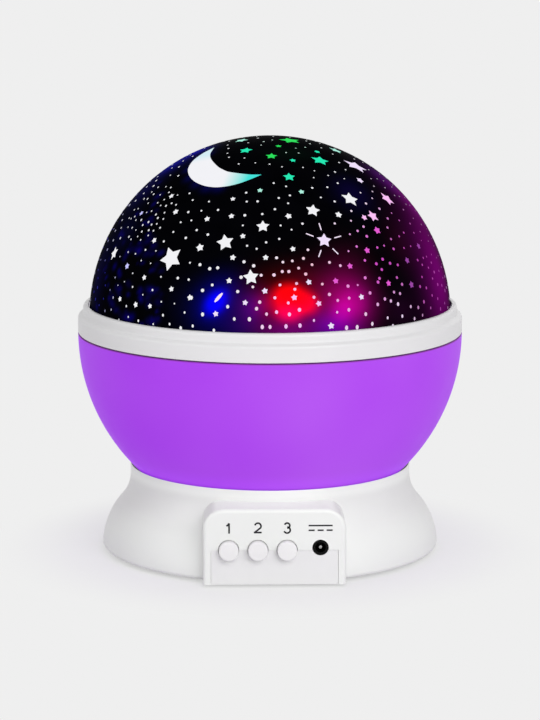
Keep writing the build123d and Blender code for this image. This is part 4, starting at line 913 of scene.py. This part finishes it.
# Dots: the ones round the coloured lamps by their places across and up in millimetres, and the others
# scattered, none nearer than its spacing to another window, with a close swarm on the left.
lamp_dots = np.array([
    (-24.5, 18), (-21.1, 16.6), (-18.3, 16.9), (-9.1, 19), (-5.7, 17.6), (-3.1, 14.3), (-10.1, 13.6),
    (-6, 10.2), (-20.2, 10.9), (-23.6, 9), (-11.3, 8.6), (-27.5, 6.4), (-14.8, 3.3), (-23.6, 0.6),
    (-12.5, -1), (-7.2, -1.1), (-2.7, -3.8), (0, -3.8), (5.6, -3.6), (10.5, -3.3), (-1.2, 0.7), (-4.7, 2.6),
    (-3.6, 4.9), (2.3, 1.4), (6.8, 0.6), (10.3, 2.2), (1.7, 6.4), (6.4, 4.6), (3.5, 10.9), (9.3, 11.4),
    (8.7, 9.4), (1.4, 14.4), (4.3, 15.6), (6.6, 15.6), (10, 16.8), (4.5, 18.9), (7.8, 19.3), (11.7, 20.2),
    (2.3, 20.4), (14.7, 18), (12.5, 14.7), (18.3, 11.2), (15.4, 6.6), (20.8, 18.8), (20.8, 7.6), (23.7, 5.5),
    (27.3, 10.5), (27.7, 6.3), (27.6, 2.2), (26.8, -4.1), (30.5, -3.9), (33.5, 0.7), (35.8, -2.7), (35, 8.1),
    (37.7, 4.1), (40.2, 6), (42.3, 5.3), (44.8, 4.2), (33.3, 13.4), (33.2, 19.5), (37.2, 18.3), (39.4, 19.9),
    (42, 18.5), (44.7, 17.9), (39.1, 16.3), (38.3, 13.2), (37.8, 11.9), (44.4, 13.5), (45.5, 7.9)])
DOT_SPACING = 4.3
SWARM_SPACING = 2.0
DOT_LOWEST = 0.035
DOT_REACH = 0.35
RAY_REACH = 1.2
scatter = np.random.default_rng(11)
lamp_way = toward(lamp_dots[:, 0], lamp_dots[:, 1])
taken_way = np.concatenate([star_way, streak_way, ray_way, moon_way[::4, ::6].reshape(-1, 3), lamp_way])
taken_reach = np.full(len(taken_way), RAY_REACH)
taken_reach[:len(star_way)] = star_rows[:, 2] * 0.8
taken_reach[-len(lamp_way):] = DOT_REACH


def scattered(tries, spacing, middle=None, reach=0):
    """Seeded random directions above the dome's foot, spread evenly because a sphere has equal area for equal
    height. They are kept one after another where they clear every window so far, and only within the reach,
    in degrees, of a middle where one is given."""
    global taken_way, taken_reach
    height = scatter.uniform(DOT_LOWEST, 1, tries)
    around = scatter.uniform(0, 2 * pi, tries)
    flat = np.sqrt(1 - height**2)
    ways = np.stack([flat * np.cos(around), flat * np.sin(around), height], -1)
    if middle is not None:
        ways = ways[ways @ middle > cos(radians(reach))]
    kept = []
    for way in ways:
        gap = np.linalg.norm(taken_way - way, axis=1) * DOME_R - taken_reach
        if gap.min() > spacing * scatter.uniform(0.72, 1.1):
            kept.append(way)
            taken_way = np.vstack([taken_way, way])
            taken_reach = np.append(taken_reach, DOT_REACH)
    return np.array(kept)


swarm = scattered(9000, SWARM_SPACING, toward(-42, 37), 11)
close_fields = [(48, 20, 16, 3.1), (45, 48, 10, 3.3), (4, 30, 14, 3.5), (24, 28, 12, 3.3)]
close_dots = [scattered(5000, spacing, toward(*place), reach) for *place, reach, spacing in close_fields]
dots = np.concatenate([lamp_way, *close_dots, scattered(24000, DOT_SPACING)])
# Round the back, where no star was listed, some of the dots grow into stars.
SMALL_SHARE, SMALL_BACK_R = 0.24, 1.35
BIG_SHARE, BIG_BACK_R = 0.05, 2.9
behind = dots @ view_line > -0.05
small_star = behind & (scatter.uniform(size=len(dots)) < SMALL_SHARE)
big_star = behind & (scatter.uniform(size=len(dots)) < BIG_SHARE)
starred = small_star | big_star
back_stars = dots[starred]
back_size = np.where(big_star, BIG_BACK_R, SMALL_BACK_R)[starred]
back_size *= scatter.uniform(0.8, 1.15, len(back_stars))
dots = dots[~starred]
back_outline = star_outline(back_size, scatter.uniform(0, 2 * pi, len(back_stars)))
# Dots are finer toward the top and in two patches at the sides, dimmer at the upper right, and taller low
# down.
dot_size = scatter.uniform(0.32, 0.53, len(dots)) * np.clip(1.75 - 1.15 * dots[:, 2], 0.68, 1)
dot_size[:len(lamp_way)] = scatter.uniform(0.46, 0.6, len(lamp_way))
fine_right = dots @ toward(50, 38) > cos(radians(22))
fine_left = dots @ toward(-50, 6) > cos(radians(20))
dot_size *= np.where(fine_right | fine_left, 0.72, 1)
dot_dim = 0.97 - 0.5 * np.exp(-(((1 - dots @ toward(52, 40)) / 0.09) ** 2))
dot_tall = dot_size * (1 + 0.45 * np.clip((0.28 - dots[:, 2]) / 0.2, 0, 1))
swarm_size = scatter.uniform(0.24, 0.42, len(swarm))
groups = [(star_way, rotated(star_in, star_along * drawn, edge_turn), star_colours),
          (dots, dot_outline(dot_size, dot_tall), window_light(dots) * dot_dim[:, None]),
          (swarm, dot_outline(swarm_size, swarm_size * 1.1), window_light(swarm) * 0.9),
          (back_stars, back_outline, window_light(back_stars)),
          (ray_way, rotated(ray_along, ray_beside, ray_turn[:, None]), linear(240, 224, 244)),
          (streak_way, rotated(*dot_outline([0.55], [2.1]), radians(-42)), linear(250, 226, 240))]
window_points, window_faces, window_colours, count = [], [], [], 0
for group in groups:
    points, faces, colours = plugs(*group)
    window_points.append(points)
    window_colours.append(colours)
    for kind in faces:
        window_faces += (kind + count).tolist()
    count += len(points)
windows = from_points("star_windows", np.concatenate(window_points), window_faces)
with edited(windows.data) as work:
    bmesh.ops.recalc_face_normals(work, faces=work.faces)
paint(windows.data, "light", np.concatenate(window_colours))
window_clear, tree, shader = toned("dome_window_lit", (0.01, 0.01, 0.012), (0.02, 0.02, 0.024), 300)
feed(shader, {"Emission Color": painted(tree, "light"), "Emission Strength": 1.0, "Roughness": 0.4,
              "IOR": 1.03, "Specular IOR Level": 0.15})
fit(windows, window_clear, "star_print_dome", "shade")

# The crescent turns from white to teal toward the east and pale blue toward its upper tip.
moon = surface("crescent_window", [moon_grid])
moon_ways = unit(points_of(moon.data) - DOME_CENTRE)
moon_light = linear(240, 240, 244)
for way, start, run, strength, shown in zip(local_frame(toward(-18, 50)), (3.2, 8.6), (8.0, 5.0), (1, 0.4),
                                            ((60, 225, 215), (150, 225, 240))):
    share = np.clip((moon_ways @ way * DOME_R - start) / run, 0, 1)[:, None] * strength
    moon_light = moon_light * (1 - share) + linear(*shown) * share
paint(moon.data, "light", moon_light)
fit(moon, window_clear, "star_print_dome", "shade")


# ---- covers, works and fasteners ----
# Everything else keeps its turned or moulded form: the bottom cover with its apron, the battery door, the
# feet, the cells and their contacts, the boards, the drive and the lamps. Each gets the finish of its
# plastic, rubber or metal.
def smoothed(node_name, body, slot):
    """A finished skin over a plain part: its loose triangles are joined and edges under the sharp angle are
    shaded smooth."""
    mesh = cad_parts[node_name].data.copy()
    with edited(mesh) as work:
        bmesh.ops.remove_doubles(work, verts=work.verts, dist=0.002 * MM)
        bmesh.ops.dissolve_limit(work, angle_limit=radians(0.2), verts=work.verts, edges=work.edges)
    mesh.shade_smooth()
    mesh.set_sharp_from_angle(angle=radians(30))
    piece = placed(f"{node_name}_skin", mesh)
    weighted = piece.modifiers.new("flats", "WEIGHTED_NORMAL")
    weighted.keep_sharp = True
    return fit(piece, finishes[slot], slot, body, node_name)


def metal(name, colour, roughness, brushed=400):
    """Plated or ground metal: streaks in the sheen and a slight unevenness in the tone."""
    material, tree, shader = toned(name, [c * 0.86 for c in colour], colour, 160, 3)
    feed(shader, {"Metallic": 1.0,
                  "Roughness": ranged(tree, noise(tree, brushed, 5), roughness * 0.75, roughness * 1.3)})
    return material


def lens(name, colour, strength):
    """Clear or tinted epoxy over a lit chip."""
    material, _, shader = toned(name, [c * 0.85 for c in colour], colour, 300)
    feed(shader, {"Roughness": 0.12, "Emission Color": colour, "Emission Strength": strength})
    return material


finishes = {
    "white_shell": moulded("abs_cover_white", (0.765, 0.765, 0.762), 0.4, specular=0.35),
    "rubber_foot": moulded("rubber_charcoal", (0.015, 0.015, 0.016), 0.75, tone=0.2, grain=0.5,
                           grain_scale=1800, specular=0.3),
    "screw_steel": metal("zinc_plated_steel", (0.58, 0.58, 0.60), 0.34),
    "contact_metal": metal("nickel_plate", (0.72, 0.70, 0.66), 0.22),
    "cell_wrap": moulded("cell_sleeve", (0.02, 0.08, 0.045), 0.3, tone=0.25, grain=0.1),
    "circuit_board": moulded("board_green", (0.01, 0.085, 0.03), 0.35, tone=0.3, grain=0.35,
                             grain_scale=1400),
    "switch_body": moulded("switch_black", (0.012, 0.012, 0.014), 0.5, tone=0.2, grain=0.3),
    "jack_body": moulded("socket_black", (0.0012, 0.0012, 0.0014), 0.5, tone=0.2, specular=0.1),
    "jack_pin": metal("pin_nickel", (0.40, 0.40, 0.39), 0.3),
    "nylon": moulded("natural_nylon", (0.76, 0.74, 0.66), 0.45, tone=0.05, grain=0.2),
    "motor_case": metal("motor_can_steel", (0.60, 0.60, 0.61), 0.3, 700),
    "shaft_steel": metal("ground_steel", (0.64, 0.64, 0.65), 0.2, 900),
    "led_clear": lens("epoxy_clear", (0.82, 0.82, 0.75), 0.9),
}
for tint, colour, tone in (("red", (0.26, 0.01, 0.008), 0.15), ("black", (0.01, 0.01, 0.01), 0.15),
                           ("white", (0.6, 0.6, 0.57), 0.06)):
    finishes[f"lead_{tint}"] = moulded(f"pvc_{tint}", colour, 0.45, tone=tone, grain=0.2)
lens_colours = {"red": (0.75, 0.01, 0.01), "green": (0.01, 0.55, 0.06), "blue": (0.01, 0.02, 0.75)}
for tint, colour in lens_colours.items():
    finishes[f"led_{tint}_lens"] = lens(f"epoxy_{tint}", colour, 0.8)
carried = {
    "base": {
        "bottom_cover": "white_shell", "rubber_feet": "rubber_foot", "cover_screws": "screw_steel",
        "aaa_cells": "cell_wrap", "battery_contacts": "contact_metal", "battery_springs": "contact_metal",
        "control_board": "circuit_board", "tact_switches": "switch_body", "dc_jack": "jack_body",
        "dc_jack_pin": "jack_pin", "thrust_washer": "nylon", "drive_motor": "motor_case",
        "motor_screws": "screw_steel", "light_column": "white_shell", "column_screws": "screw_steel",
        "lamp_board": "circuit_board", "lamp_board_screws": "screw_steel", "led_white": "led_clear",
        "led_red": "led_red_lens", "led_green": "led_green_lens", "led_blue": "led_blue_lens",
        "lamp_lead": "lead_white", "motor_lead": "lead_black", "battery_lead": "lead_red"},
    "ball": {"turntable_gear": "nylon", "turntable_screws": "screw_steel"},
    "drive": {"motor_shaft": "shaft_steel", "drive_pinion": "nylon"},
    "push_1": {"switch_plunger_1": "switch_body"}, "push_2": {"switch_plunger_2": "switch_body"},
    "push_3": {"switch_plunger_3": "switch_body"},
    "door": {"battery_door": "white_shell", "door_screw": "screw_steel"},
}
skins = {name: smoothed(name, body, slot) for body, nodes in carried.items() for name, slot in nodes.items()}
# The apron's face stands a little forward, almost level with the panel round it.
APRON_FORWARD = 0.45
APRON_FACE_Y = PANEL_FRONT_Y + 0.81
cover = skins["bottom_cover"].data
cover_points = points_of(cover)
cover_points[cover_points[:, 1] < APRON_FACE_Y, 1] -= APRON_FORWARD
cover.vertices.foreach_set("co", (cover_points * MM).ravel())
cover.update()


# ---- table, light and camera ----
# A plain pale table top under soft studio light, seen from a little above and a touch to the left of the
# front.
FLOOR_HALF = 1600.0
corners = [(x * FLOOR_HALF, y * FLOOR_HALF, 0) for x, y in ((-1, -1), (1, -1), (1, 1), (-1, 1))]
floor = from_points("floor", corners, [(0, 1, 2, 3)])
PALE = (0.863, 0.863, 0.863)
AMBIENT = 0.48
NEAR_FADE = 0.58
FADE_FROM, FADE_TO = 0.05, 0.10
floor_material, tree, shader = toned("table_pale", (0.84, 0.84, 0.84), (0.86, 0.86, 0.86), 60)
floor.data.materials.append(floor_material)
feed(shader, {"Roughness": 0.9, "Specular IOR Level": 0.1})


def seen(tree):
    """One for rays from the camera, straight, mirrored or through something clear, and nought for the
    rest."""
    ray = tree.nodes.new("ShaderNodeLightPath").outputs
    mirrored = joined(tree, "MAXIMUM", ray["Is Glossy Ray"], ray["Is Transmission Ray"])
    return joined(tree, "MAXIMUM", ray["Is Camera Ray"], mirrored)


# Seen from the camera, the table fades from its shaded top round the lamp into the plain backdrop.
distance = node(tree, "VectorMath", {0: node(tree, "TexCoord", {}, "Object")}, 1)
distance.node.operation = "LENGTH"
fade = ranged(tree, distance, NEAR_FADE, 1, FADE_FROM, FADE_TO, soft=True)
mixed = node(tree, "MixShader", {"Fac": joined(tree, "MULTIPLY", fade, seen(tree)), 1: shader.outputs["BSDF"],
                                 2: node(tree, "Emission", {"Color": PALE})})
# From underneath the table top is clear, so that the battery door and the feet can be seen.
one_sided = node(tree, "MixShader", {"Fac": node(tree, "NewGeometry", {}, "Backfacing"), 1: mixed,
                                     2: node(tree, "BsdfTransparent", {})})
feed(tree.nodes["Material Output"], {"Surface": one_sided})

world = bpy.data.worlds.new("studio")
bpy.context.scene.world = world
world.use_nodes = True
tree = world.node_tree
tree.nodes.clear()
ambient = node(tree, "Background", {"Color": (1, 1, 1), "Strength": AMBIENT})
backdrop = node(tree, "Background", {"Color": PALE})
feed(tree.nodes.new("ShaderNodeOutputWorld"), {
    "Surface": node(tree, "MixShader", {"Fac": seen(tree), 1: ambient, 2: backdrop})})


def area_light(name, place, aim, size, power):
    """A square soft light, turned to face a point. Returns the lamp."""
    data = bpy.data.lights.new(name, "AREA")
    data.size = size
    data.energy = power
    light = placed(name, data)
    light.location = place
    light.rotation_euler = (Vector(aim) - Vector(place)).to_track_quat("-Z", "Y").to_euler()
    return light


area_light("key", (0.42, -1.1, 0.64), (0, 0, 0.05), 0.9, 9.9)
area_light("fill", (-1.0, -0.45, 0.45), (0, 0, 0.05), 0.9, 2.2)
# A small card over the front lights the base housing alone, under the bowl.
card = area_light("card", (0.0, -0.5, 0.93), (0, -0.058, 0.028), 0.3, 2.0)
under_card = bpy.data.collections.new("under_card")
under_card.objects.link(housing)
card.light_linking.receiver_collection = under_card
card.visible_glossy = False
card.data.color = (0.9, 1.0, 0.87)
area_light("back", (0.25, 1.15, 0.75), (0, 0, 0.05), 1.2, 2.2)

bpy.context.scene.view_settings.view_transform = "Standard"
camera_data = bpy.data.cameras.new("camera")
camera_data.sensor_fit = "VERTICAL"
camera_data.sensor_height = 36
camera_data.lens = 142.6
camera_data.clip_start = 0.05
camera = placed("camera", camera_data)
camera.location = Vector(VIEW_FROM * MM)
camera.rotation_euler = Vector(view_line).to_track_quat("-Z", "Y").to_euler()
bpy.context.scene.camera = camera
